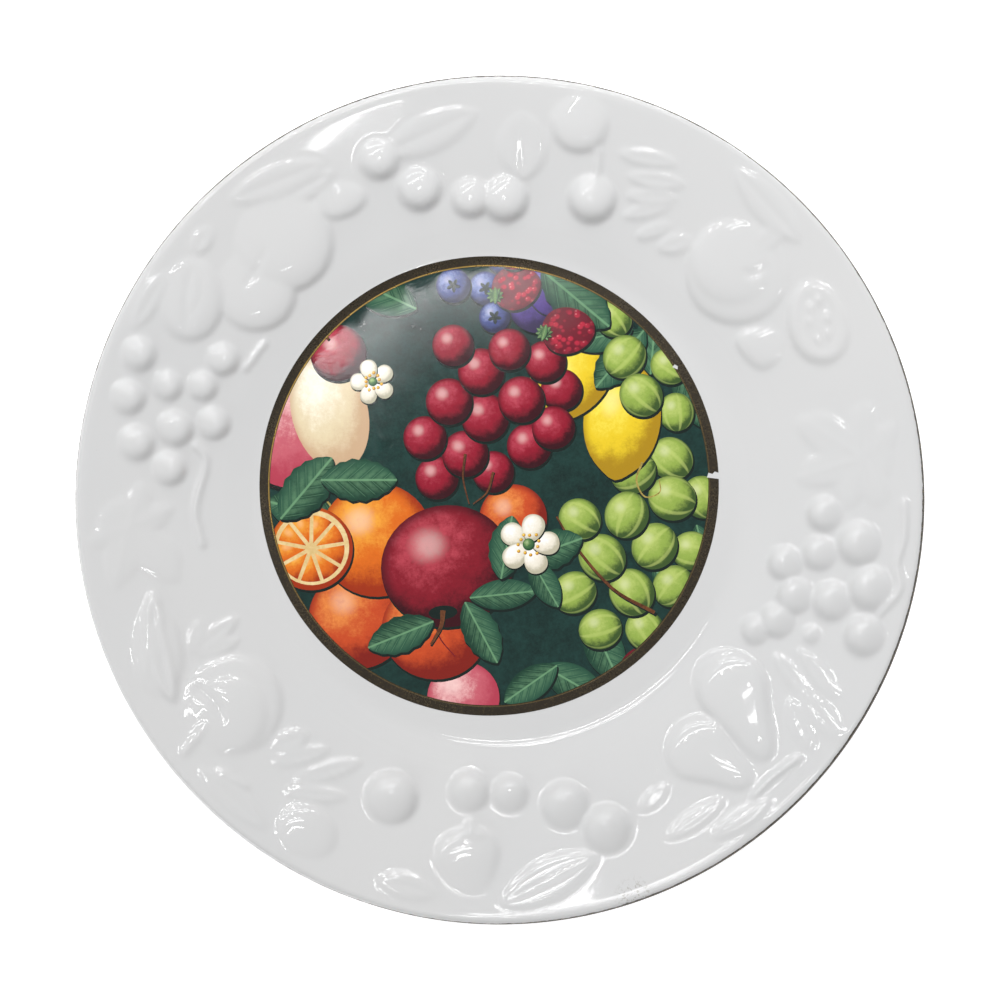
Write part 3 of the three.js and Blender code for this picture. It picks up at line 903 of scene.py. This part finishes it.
def turned_mesh(body):
    """The plain turned body: the profile spun round the axis and its two flat middles closed."""
    bm = bmesh.new()
    points = body.front(RIM_RINGS) + body.back()
    line = [bm.verts.new((out * MM, 0, up * MM)) for out, up in points]
    edges = [bm.edges.new(pair) for pair in zip(line[:-1], line[1:])]
    sector_angle = 2 * math.pi / SECTORS
    bmesh.ops.spin(bm, geom=line + edges, cent=(0, 0, 0), axis=(0, 0, 1), dvec=(0, 0, 0),
                   angle=sector_angle, steps=SPIN_STEPS // SECTORS, use_merge=False, use_normal_flip=False,
                   use_duplicate=False)
    sector = bm.verts[:] + bm.edges[:] + bm.faces[:]
    for i in range(1, SECTORS):
        copy = bmesh.ops.duplicate(bm, geom=sector)["geom"]
        turned = [item for item in copy if isinstance(item, bmesh.types.BMVert)]
        bmesh.ops.rotate(bm, verts=turned, cent=(0, 0, 0), matrix=Matrix.Rotation(i * sector_angle, 3, "Z"))
    bmesh.ops.remove_doubles(bm, verts=bm.verts, dist=1e-6)
    open_edges = [edge for edge in bm.edges if edge.is_boundary]
    middles = bmesh.ops.holes_fill(bm, edges=open_edges, sides=0)["faces"]
    bmesh.ops.poke(bm, faces=middles)
    bmesh.ops.recalc_face_normals(bm, faces=bm.faces)
    return bm


HOLE_TURNS = (72, 108)
FOOT_HALF_WIDTH = 0.0024


def drill_wire_holes(bm, plate, body):
    """Opens the two wire holes through the foot ring and rounds their edges."""
    half = plate.wire_hole / 2
    for turn in HOLE_TURNS:
        out = Vector((*way(turn), 0))
        along = Vector((-out.y, out.x, 0))
        middle = out * body.foot * MM + Vector((0, 0, plate.foot_height / 2))
        patch = []
        for face in bm.faces:
            spot = face.calc_center_median() - middle
            near = abs(spot.dot(out)) < FOOT_HALF_WIDTH and abs(spot.dot(along)) < half * 0.95
            if near and abs(spot.z) < half * 0.98 and abs(face.normal.z) < 0.5:
                patch.append(face)
        bmesh.ops.delete(bm, geom=patch, context="FACES")
        rim_edges = [edge for edge in bm.edges if edge.is_boundary]
        for vert in {vert for edge in rim_edges for vert in edge.verts}:
            spot = vert.co - middle
            side, up = spot.dot(along), spot.z
            size = math.hypot(side, up)
            vert.co += along * (side / size * half - side) + Vector((0, 0, up / size * half - up))
        bmesh.ops.bridge_loops(bm, edges=rim_edges)


class PLATE_OT_cast_body(bpy.types.Operator):
    """Turns the body, lays the garland on its rim and glazes it"""
    bl_idname = "plate.cast_body"
    bl_label = "Cast body"

    def execute(self, context):
        plate = context.scene.plate_settings
        body = TurnedBody(plate)
        bm = turned_mesh(body)
        places = np.array([vert.co for vert in bm.verts]) / MM
        out = np.hypot(places[:, 0], places[:, 1])
        front = body.front(RIM_RINGS)
        plain = np.interp(out, [p[0] for p in front], [p[1] for p in front])
        cast = (abs(places[:, 2] - plain) < 0.01) & (out > body.fillet_start) & (out <= body.lip_start + 0.01)
        chosen = np.nonzero(cast)[0]
        garland = Garland(places[chosen, 0], places[chosen, 1], body, plate)
        garland.lay_all()
        fade = np.clip((body.lip_start + 0.4 - out[chosen]) / LIP_FADE, 0, 1)
        turn = np.arctan2(places[chosen, 1], places[chosen, 0])
        sway = 0.05 * np.sin(5 * turn + 0.6) + 0.04 * np.sin(11 * turn + out[chosen] * 0.11)
        lift = garland.height * fade + sway * fade * np.clip((out[chosen] - body.well) / 6, 0, 1)
        bm.verts.ensure_lookup_table()
        for index, rise in zip(chosen.tolist(), lift.tolist()):
            bm.verts[index].co.z += rise * MM
        raised = [bm.verts[i] for i in chosen.tolist() if out[i] > body.well - 6]
        for _ in range(plate.softening):
            bmesh.ops.smooth_vert(bm, verts=raised, factor=0.5, use_axis_z=True)
        drill_wire_holes(bm, plate, body)
        bmesh.ops.recalc_face_normals(bm, faces=bm.faces)
        for face in bm.faces:
            face.smooth = True
            radius = face.calc_center_median().xy.length / MM
            face.material_index = int(face.normal.z < -0.9 and abs(radius - body.foot) < BARE_HALF_WIDTH)
        for edge in bm.edges:
            low = max(vert.co.z for vert in edge.verts) < body.floor * MM - 0.001
            if low and len(edge.link_faces) == 2 and edge.calc_face_angle() > CREASE:
                edge.smooth = False
        gilt = worn_gilt_group()
        surface = glaze_surface_group()
        materials = [glaze_material(plate, surface, gilt), bare_foot_material(plate)]
        piece = mesh_object("glazed_plate", bm, materials)
        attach(piece, BODY)
        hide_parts(PLATE_NODE)
        return {"FINISHED"}


# Figures of the picture, from the back to the front. Millimetres from the picture's middle, +X right,
# +Y up. A leaf or fruit has its place, half length, half width and heading in degrees.
ROUND, LEAFY, BEADED, FLAT = (1, 0, 0), (0, 1, 0), (0, 0, 1), (0, 0, 0)


class Picture:
    """The figures of the printed picture in painting order, and the paints of each."""

    def __init__(self, settings):
        self.settings = settings
        self.figures = []
        self.lay(0)

    def lay(self, turn, flip=1):
        """How the figures that follow are turned about the picture's middle, and mirrored where flip is -1."""
        self.turn, self.flip = turn, flip

    def paints(self, name):
        _, deep, _, bright = PAINTS[name]
        return paint(deep), (*getattr(self.settings, name), 1.0), paint(bright)

    def figure(self, outline, centre, half, wide, heading, name, habit, stripes=0.0, shine=0.6, cast=0.55):
        """Adds a figure, with its thin cast shadow under it."""
        outline = self.spread(np.asarray(outline, float) * (self.flip, 1), (0, 0), self.turn)
        centre = tuple(self.spread([(centre[0] * self.flip, centre[1])], (0, 0), self.turn)[0])
        heading = self.turn + (heading if self.flip > 0 else 180 - heading)
        if cast:
            middle = outline.mean(axis=0)
            shade = middle + (outline - middle) * (1 + 0.25 * cast / max(half, wide)) + (0.5 * cast, -cast)
            self.figures.append((shade, centre, half, wide, heading, self.paints("shadow"), FLAT, 0.0, 0.0))
        self.figures.append((outline, centre, half, wide, heading, self.paints(name), habit, stripes, shine))

    @staticmethod
    def spread(points, centre, heading):
        c, s = way(heading)
        points = np.asarray(points, float)
        return points @ np.array([[c, s], [-s, c]]) + centre

    def fruit(self, x, y, half, wide=None, heading=0, name="apple", taper=0.0, nub=0.0, **finish):
        wide = half if wide is None else wide
        t = np.linspace(0, 2 * math.pi, 40, endpoint=False)
        tip = nub * (np.exp(-((t + 0.001) / 0.3) ** 2) + np.exp(-((t - 2 * math.pi) / 0.3) ** 2)
                     + np.exp(-((t - math.pi) / 0.26) ** 2))
        points = np.column_stack([half * np.cos(t) * (1 + tip), wide * np.sin(t) * (1 - taper * np.cos(t))])
        self.figure(self.spread(points, (x, y), heading), (x, y), half, wide, heading, name,
                    finish.pop("habit", ROUND), **finish)

    def leaf(self, x, y, half, wide, heading, name="leaf", teeth=0, **finish):
        t = np.linspace(0, 2 * math.pi, 8 * max(teeth, 5), endpoint=False)
        saw = 1 + (0.10 * np.abs((t * teeth / math.pi) % 1 - 0.5) * 2 if teeth else 0)
        points = np.column_stack([half * np.cos(t), wide * np.sin(t) * np.sqrt(np.abs(np.sin(t))) * saw])
        self.figure(self.spread(points, (x, y), heading), (x, y), half, wide, heading, name, LEAFY, **finish)

    def strip(self, points, width, name="twig", cast=0.3):
        """A twig or tendril: a narrow band along a smooth line, thinner to its end."""
        line = smooth_line(points, 6)
        run = np.gradient(line, axis=0)
        side = np.column_stack([-run[:, 1], run[:, 0]]) / np.linalg.norm(run, axis=1)[:, None]
        taper = np.linspace(1, 0.45, len(line))[:, None] * width / 2
        outline = np.vstack([line + side * taper, (line - side * taper)[::-1]])
        centre = tuple(outline.mean(axis=0))
        self.figure(outline, centre, 2.5, 2.5, 0, name, FLAT, cast=cast)

    def blossom(self, x, y, size, turn):
        for i in range(5):
            heading = turn + 72 * i
            c, s = way(heading)
            self.fruit(x + c * size * 0.55, y + s * size * 0.55, size * 0.46, size * 0.37, heading, "petal",
                       taper=-0.22, shine=0.0, cast=0.35)
        self.fruit(x, y, size * 0.2, name="young_leaf", shine=0.2, cast=0)
        for i in range(11):
            c, s = way(turn + 33 * i)
            far = size * (0.30 + 0.05 * (i % 3))
            self.fruit(x + far * c, y + far * s, 0.42, name="pollen", shine=0.2, cast=0)

    def slice(self, x, y, size):
        self.fruit(x, y, size, name="orange", shine=0.0)
        self.fruit(x - 0.2, y + 0.2, size * 0.90, name="pith", shine=0.0, cast=0, habit=FLAT)
        for i in range(9):
            heading = 40 * i + 11
            c, s = way(heading)
            spread_angle = math.radians(17)
            t = np.linspace(-1, 1, 7)
            far = size * 0.80
            rounded = [(far * math.cos(spread_angle * k), far * math.sin(spread_angle * k)) for k in t]
            wedge = [(size * 0.14, 0.0), *rounded]
            self.figure(self.spread(wedge, (x, y), heading), (x + c * size * 0.45, y + s * size * 0.45),
                        size * 0.5, size * 0.34, heading, "orange", ROUND, shine=0.25, cast=0)

    def draw(self):
        """Puts every figure in its place, from the ground to the blossoms."""
        self.lay(95)
        self.draw_edges()
        self.lay(205)
        self.draw_left()
        self.lay(20, -1)
        self.draw_right()
        self.lay(180)
        self.draw_middle()
        self.lay(130)
        self.draw_top_layer()

    def draw_edges(self):
        """Leaves and half-hidden fruit that fill the picture's edge."""
        for leaf in ((-51, -17, 9, 4.6, 235), (-43, -25, 9, 4.8, 200), (-50, -6, 8, 4, 120),
                     (50, 22, 9, 5, 60), (41, -34, 9, 4.6, 300), (48, -27, 9, 4.8, 330),
                     (33, -44, 9, 4.4, 350), (-2, 47, 9, 5.2, 70), (-30, -44, 8, 4, 220),
                     (-22, -52, 8, 3.6, 190), (18, -52, 9, 4, 200), (31, 47, 8, 4.4, 20)):
            self.leaf(*leaf)
        self.fruit(-52, 11, 9, name="blush", shine=0.3)
        self.fruit(-50, -35, 7, name="apple", shine=0.4)
        self.fruit(12, 50, 8.5, name="cherry", shine=0.4)
        self.fruit(33, 52, 6, 5, 20, "lemon", nub=0.1, shine=0.2)
        self.strip([(2, 44), (-1, 40), (-5, 40), (-6, 44), (-3, 46.5)], 0.55, "curl", cast=0)
        self.strip([(2, 44), (4.5, 49), (1.5, 52), (-3, 52)], 0.6, "curl", cast=0)

    def draw_left(self):
        """Gooseberries and lemons, plums and blueberries below them."""
        for x, y, r in ((-20, 49, 5.2), (-10, 44, 5.4), (-39, 36, 5.2), (-31, 42, 5.4), (-47, 25, 5.4),
                        (-50, 3, 4.8), (-44, 13, 5.6), (-8, 33, 5.6), (-21, 39, 6.0), (-31, 31, 6.0),
                        (-40, 22, 6.0), (-34, 12, 5.8), (-28, 21, 5.9), (-18, 28, 6.1), (-17, 17, 5.4)):
            self.fruit(x, y, r, r * 0.93, 60 + 7 * x, "gooseberry", stripes=0.9, shine=0.35)
        self.strip([(-24, 46), (-17, 36), (-13, 22), (-12, 14)], 0.9)
        self.fruit(-37, -1, 14, 9.6, 58, "lemon", nub=0.09, shine=0.3)
        self.fruit(-29, -15, 12, 8.4, 12, "lemon", nub=0.10, shine=0.3)
        self.fruit(-31, -39, 10.4, 8.2, 70, "plum", shine=0.35)
        self.strip([(-33, -30.5), (-29.5, -34), (-28.5, -40), (-30.5, -47)], 0.5, "shadow", cast=0)
        self.fruit(-43, -29, 9.4, 7.6, 20, "plum", shine=0.35)
        for x, y, r in ((-20, -45, 4.2), (-27, -50, 4.0), (-13, -49, 4.3), (-19, -37.5, 3.9)):
            self.fruit(x, y, r, name="blueberry", shine=0.3)
            for i in range(5):
                self.leaf(x + 0.9 * math.cos(i * 1.2566), y + 0.9 * math.sin(i * 1.2566), 0.9, 0.45,
                          72 * i, "shadow", cast=0)
        self.leaf(-43, -15, 9.5, 4.6, 25, teeth=9)
        self.leaf(-41, -22, 8, 3.9, -12)

    def draw_right(self):
        """The pale fruit, oranges and apricots of the right half."""
        self.fruit(40, 33, 18, 16.5, 100, "blush", shine=0.35)
        self.fruit(31, 31, 15, 9.5, 96, "cream", shine=0.2, cast=0)
        self.fruit(24, 44, 7.0, name="cherry", shine=0.6)
        self.strip([(25, 48), (27, 51), (32, 53)], 0.7)
        self.leaf(46, 40, 8.5, 4.4, 320, teeth=7)
        self.fruit(42, -20, 12.4, name="apricot", shine=0.35)
        self.fruit(31, -3, 14.2, name="orange", shine=0.5)
        self.slice(47, 0.5, 10.4)
        self.fruit(25, -29, 13.2, 12.4, 30, "apricot", shine=0.45)
        self.strip([(20, -18.5), (23.5, -24), (24.5, -31), (22.5, -37)], 0.5, "apple", cast=0)
        self.leaf(43, 15, 10, 5.2, 150, teeth=9)
        self.leaf(30, 12.5, 9.5, 5.0, 200, teeth=9)

    def draw_middle(self):
        """The dark apple and the cherries under it."""
        self.fruit(-6, 8, 8.4, name="apricot", shine=0.4)
        self.fruit(10.5, 20, 16.5, 15.2, 10, "apple", shine=0.5)
        self.fruit(11.5, 31.5, 3.6, 1.7, 4, "shadow", cast=0, habit=FLAT)
        self.strip([(11.5, 31), (12, 35), (14.5, 39.5)], 1.3)
        self.leaf(2, 36.5, 8.6, 4.2, 118, teeth=8)
        self.leaf(22, 37, 8.8, 4.3, 22, teeth=8)
        self.leaf(-3.5, 27, 8.4, 3.8, 186)
        for x, y, r in ((13, -2, 5.4), (-1, -3.5, 5.2), (6, -8, 5.8), (-18, -24, 5.2), (16, -12, 5.4),
                        (-10, -10, 5.6), (1, -17, 6.0), (-16, -14.5, 5.4), (10, -21, 5.8), (-8, -21.5, 5.8),
                        (-14, -31, 5.2), (2, -28.5, 5.8), (-5, -34, 5.2), (9, -35, 5.2)):
            self.fruit(x, y, r, name="cherry", shine=0.55)
        self.strip([(-1, -3.5), (0.5, 1.5), (4, 4.5)], 0.6)
        self.strip([(6, -8), (6.5, -2), (5, 4.5)], 0.6)

    def draw_top_layer(self):
        """Berries at the bottom, raspberries and the blossoms."""
        for x, y, r in ((-6, -53.5, 4.8), (12, -50.5, 4.8), (3, -46.5, 5.6), (-7, -43.5, 5.6)):
            self.fruit(x, y, r, r * 0.93, 70 + 9 * x, "gooseberry", stripes=0.9, shine=0.35)
        self.leaf(22, -46.5, 11, 5.6, 190, teeth=9)
        for x, y, half, wide, heading in ((33.5, -37, 6.2, 5.4, 250), (17, -40, 6.6, 5.8, 235),
                                          (41, -43, 5.4, 4.8, 260)):
            self.fruit(x, y, half, wide, heading, "raspberry", taper=0.12, habit=BEADED)
            c, s = way(heading + 180)
            for fan in (-70, -35, 0, 35, 70):
                self.leaf(x + c * half * 0.92, y + s * half * 0.92, 2.1, 0.75, heading + 180 + fan,
                          "young_leaf", cast=0.2)
        self.leaf(-22, -1.5, 8.4, 4.6, 250, teeth=8)
        self.leaf(-14.5, 6.5, 8.0, 4.2, 310, teeth=8)
        self.leaf(-27.5, 5, 6.8, 3.4, 170)
        self.blossom(-17.5, 1.8, 7.6, 18)
        self.blossom(38.5, 5.5, 5.6, 50)
        self.strip([(-20, -33), (-22.5, -29), (-27, -28), (-28.5, -31.5), (-26, -33.5)], 0.5, "curl", cast=0)


# Chipped places of the gilt ring: their outlines, measured from the picture's middle
CHIPS = [
    [(54.2, 2.1), (57.6, 1.7), (57.7, 3.1), (56.2, 3.6), (55.6, 3.0), (54.6, 3.3)],
    [(45.6, 29.6), (46.9, 29.0), (47.0, 29.8), (46.2, 30.3)],
]


def print_sheet(picture):
    """Cuts the picture's disc along the outlines of all figures: each face shows the frontmost one."""
    drawing = Picture(picture)
    drawing.draw()
    radius, ring = picture.radius / MM, picture.ring / MM
    circles = [radius + ring, radius + ring * 0.66, radius + ring * 0.33, radius]
    outlines = []
    for size in circles:
        t = np.linspace(0, 2 * math.pi, 288, endpoint=False)
        outlines.append(np.column_stack([size * np.cos(t), size * np.sin(t)]))
    outlines += [figure[0] for figure in drawing.figures]
    outlines += [np.array(chip, float) for chip in CHIPS]
    points, loops = [], []
    for outline in outlines:
        ahead = np.roll(outline, -1, axis=0)
        clockwise = (outline[:, 0] * ahead[:, 1] - outline[:, 1] * ahead[:, 0]).sum() < 0
        outline = outline[::-1] if clockwise else outline
        loops.append(list(range(len(points), len(points) + len(outline))))
        points += [Vector(point) for point in outline]
    corners, _, faces, _, _, sources = delaunay_2d_cdt(points, [], loops, 1, 1e-4, True)
    picture_circle = len(circles) - 1
    first_figure = len(circles)
    first_chip = first_figure + len(drawing.figures)
    kept, owners = [], []
    for face, source in zip(faces, sources):
        if 0 not in source or any(index >= first_chip for index in source):
            continue
        kept.append(face)
        inside = picture_circle in source
        owners.append(max(source) - first_figure if inside else None)
    return drawing, corners, kept, owners


class PLATE_OT_lay_picture(bpy.types.Operator):
    """Lays the printed picture and its gilt ring on the floor of the well"""
    bl_idname = "plate.lay_picture"
    bl_label = "Lay picture"

    def execute(self, context):
        picture = context.scene.picture_settings
        body = TurnedBody(context.scene.plate_settings)
        drawing, corners, faces, owners = print_sheet(picture)
        centre = np.array((picture.centre_x, picture.centre_y)) / MM
        bm = bmesh.new()
        plan = np.array(corners) + centre
        front = np.array(body.front(RIM_RINGS))
        up = np.interp(np.hypot(plan[:, 0], plan[:, 1]), front[:, 0], front[:, 1]) + picture.skin / MM
        verts = [bm.verts.new(point) for point in (np.column_stack([plan, up]) * MM).tolist()]
        lit = bm.loops.layers.uv.new("lit")
        form = bm.loops.layers.uv.new("form")
        layers = {name: bm.faces.layers.float_color.new(name) for name in ("deep", "body", "bright")}
        habit = bm.faces.layers.float_vector.new("habit")
        finish = bm.faces.layers.float_vector.new("finish")
        touch = bm.faces.layers.float.new("touch")
        ground = (None, (0, 0), 54, 54, 0, drawing.paints("ground"), FLAT, 0.0, 0.0)
        for indices, owner in zip(faces, owners):
            face = bm.faces.new([verts[i] for i in indices])
            face.smooth = True
            if owner is None:
                face.material_index = 1
                continue
            figure = drawing.figures[owner] if owner >= 0 else ground
            _, middle, half, wide, heading, paints, kind, stripes, shine = figure
            c, s = way(heading)
            for name, value in zip(("deep", "body", "bright"), paints):
                face[layers[name]] = value
            face[habit] = kind
            face[finish] = (stripes, shine, 0.0)
            face[touch] = (owner * 0.37) % 5
            for loop, index in zip(face.loops, indices):
                dx, dy = corners[index].x - middle[0], corners[index].y - middle[1]
                along, across = (dx * c + dy * s) / half, (dy * c - dx * s) / wide
                loop[form].uv = (along, across)
                loop[lit].uv = (along * c - across * s, along * s + across * c)
        bmesh.ops.delete(bm, geom=[vert for vert in bm.verts if not vert.link_faces], context="VERTS")
        bmesh.ops.recalc_face_normals(bm, faces=bm.faces)
        if sum(face.normal.z for face in bm.faces) < 0:
            bmesh.ops.reverse_faces(bm, faces=bm.faces)
        surface = bpy.data.node_groups["glaze surface"]
        gilt = bpy.data.node_groups["worn gilt"]
        piece = mesh_object("print", bm, [picture_material(picture, surface), ring_material(picture, gilt)])
        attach(piece, BODY)
        return {"FINISHED"}


def area_light(name, place, target, size, brightness, roll=0.0, mirrored=True):
    """A rectangular light that faces its target: brightness is that of its own face."""
    light = bpy.data.lights.new(name, "AREA")
    light.shape = "RECTANGLE"
    light.size, light.size_y = size
    light.energy = brightness * math.pi * size[0] * size[1]
    lamp = bpy.data.objects.new(name, light)
    lamp.location = place
    aim = (Vector(target) - Vector(place)).to_track_quat("-Z", "Y")
    lamp.rotation_euler = (aim @ Quaternion((0, 0, 1), math.radians(roll))).to_euler()
    lamp.visible_glossy = mirrored
    bpy.context.scene.collection.objects.link(lamp)


# Long strip lights behind the plate's top: place, length and thickness in metres
STRIPS = [
    ((-0.065, 0.215, 1.30), (0.24, 0.022)),
    ((-0.080, 0.275, 1.30), (0.20, 0.020)),
    ((-0.25, 0.56, 1.28), (1.00, 0.020)),
    ((-0.20, 0.78, 1.25), (1.20, 0.024)),
    ((-0.15, 1.06, 1.28), (1.40, 0.028)),
    ((-0.15, 1.40, 1.30), (1.70, 0.034)),
    ((-0.20, 1.85, 0.62), (2.20, 0.045)),
]

# Small lamps above the plate's upper left: place, size and roll in degrees
LAMPS = [
    ((-0.16, 0.60, 1.30), (0.060, 0.022), 10),
    ((-0.30, 0.52, 1.30), (0.050, 0.022), -30),
    ((-0.42, 0.44, 1.30), (0.060, 0.020), 50),
    ((0.06, 0.60, 1.30), (0.050, 0.022), 0),
    ((-0.05, 0.32, 1.30), (0.030, 0.016), 20),
]

# Lights just beside the camera, mirrored by the picture's upper left, and one for the rim's upper left
SKYLIGHTS = [
    ((-0.0805, 0.0995), (0.085, 0.012), 40),
    ((-0.012, 0.131), (0.080, 0.010), 5),
    ((0.127, -0.316), (0.075, 0.008), 24),
]
SKYLIGHT_HEIGHT = 1.32

# Broad soft lights that the glaze doesn't mirror: place and size
SOFT_BOX = ((0.0915, 0.3415, 0.421), (0.70, 0.45))
FILL = ((-0.833, -0.699, 0.507), (1.60, 0.90))


class PLATE_OT_set_stage(bpy.types.Operator):
    """Sets the pale floor, the soft light and the camera straight above the plate"""
    bl_idname = "plate.set_stage"
    bl_label = "Set stage"

    def execute(self, context):
        stage = context.scene.stage_settings
        plate = context.scene.plate_settings
        bm = bmesh.new()
        bmesh.ops.create_circle(bm, cap_ends=True, segments=96, radius=stage.floor_radius)
        floor_material, r, shader = bare_material("pale floor")
        place = r.own_place()
        mottle = r.step(r.noise(place, 6.0, 3.0), 0.3, 0.7, 0.0, 0.25)
        r.feed(shader, {"Base Color": r.blend(mottle, (*stage.floor_colour, 1.0), paint("#f6f6f5")),
                        "Roughness": 0.9, "Specular IOR Level": 0.1, "Emission Color": (1.0, 1.0, 1.0, 1.0),
                        "Emission Strength": stage.floor_glow})
        floor = mesh_object("floor", bm, [floor_material])
        world = bpy.data.worlds.new("even light")
        world.use_nodes = True
        sky = world.node_tree.nodes["Background"]
        sky.inputs["Color"].default_value = (1.0, 1.0, 1.0, 1.0)
        sky.inputs["Strength"].default_value = stage.sky
        context.scene.world = world
        target = (0, 0, plate.height / 2)
        for place_of_strip, size in STRIPS:
            area_light("strip", place_of_strip, target, size, stage.strips)
        for place_of_lamp, size, roll in LAMPS:
            area_light("lamp", place_of_lamp, target, size, stage.lamps, roll)
        for (x, y), size, roll in SKYLIGHTS:
            area_light("skylight", (x, y, SKYLIGHT_HEIGHT), (x, y, 0), size, stage.skylight, roll)
        for name, place_of_panel, size, brightness in (("soft box", *SOFT_BOX, stage.soft_box),
                                                       ("fill", *FILL, stage.fill)):
            area_light(name, place_of_panel, target, size, brightness, mirrored=False)
        camera_data = bpy.data.cameras.new("camera")
        camera_data.sensor_width = 36.0
        camera_data.lens = stage.lens
        camera = bpy.data.objects.new("camera", camera_data)
        camera.location = (0, 0, plate.height - plate.lip / 2 + stage.camera_height)
        context.scene.collection.objects.link(camera)
        context.scene.camera = camera
        context.scene.view_settings.view_transform = "Standard"
        return {"FINISHED"}


class PLATE_PT_sidebar(bpy.types.Panel):
    """Lists the plate's settings and the steps that make it"""
    bl_idname = "PLATE_PT_sidebar"
    bl_label = "Fruit garland plate"
    bl_space_type = "VIEW_3D"
    bl_region_type = "UI"
    bl_category = "Plate"

    def draw(self, context):
        layout = self.layout
        scene = context.scene
        for settings, operator in ((scene.plate_settings, "plate.cast_body"),
                                   (scene.picture_settings, "plate.lay_picture"),
                                   (scene.stage_settings, "plate.set_stage")):
            box = layout.box()
            for name in type(settings).__annotations__:
                box.prop(settings, name)
            box.operator(operator)


CLASSES = (PlateSettings, PictureSettings, StageSettings, PLATE_OT_cast_body, PLATE_OT_lay_picture,
           PLATE_OT_set_stage, PLATE_PT_sidebar)
SETTINGS = {"plate_settings": PlateSettings, "picture_settings": PictureSettings,
            "stage_settings": StageSettings}


def register():
    for item in CLASSES:
        bpy.utils.register_class(item)
    for name, group in SETTINGS.items():
        setattr(bpy.types.Scene, name, PointerProperty(type=group))


def unregister():
    for name in SETTINGS:
        delattr(bpy.types.Scene, name)
    for item in reversed(CLASSES):
        bpy.utils.unregister_class(item)


def main():
    register()
    bpy.ops.plate.cast_body()
    bpy.ops.plate.lay_picture()
    bpy.ops.plate.set_stage()


if __name__ == "__main__":
    main()
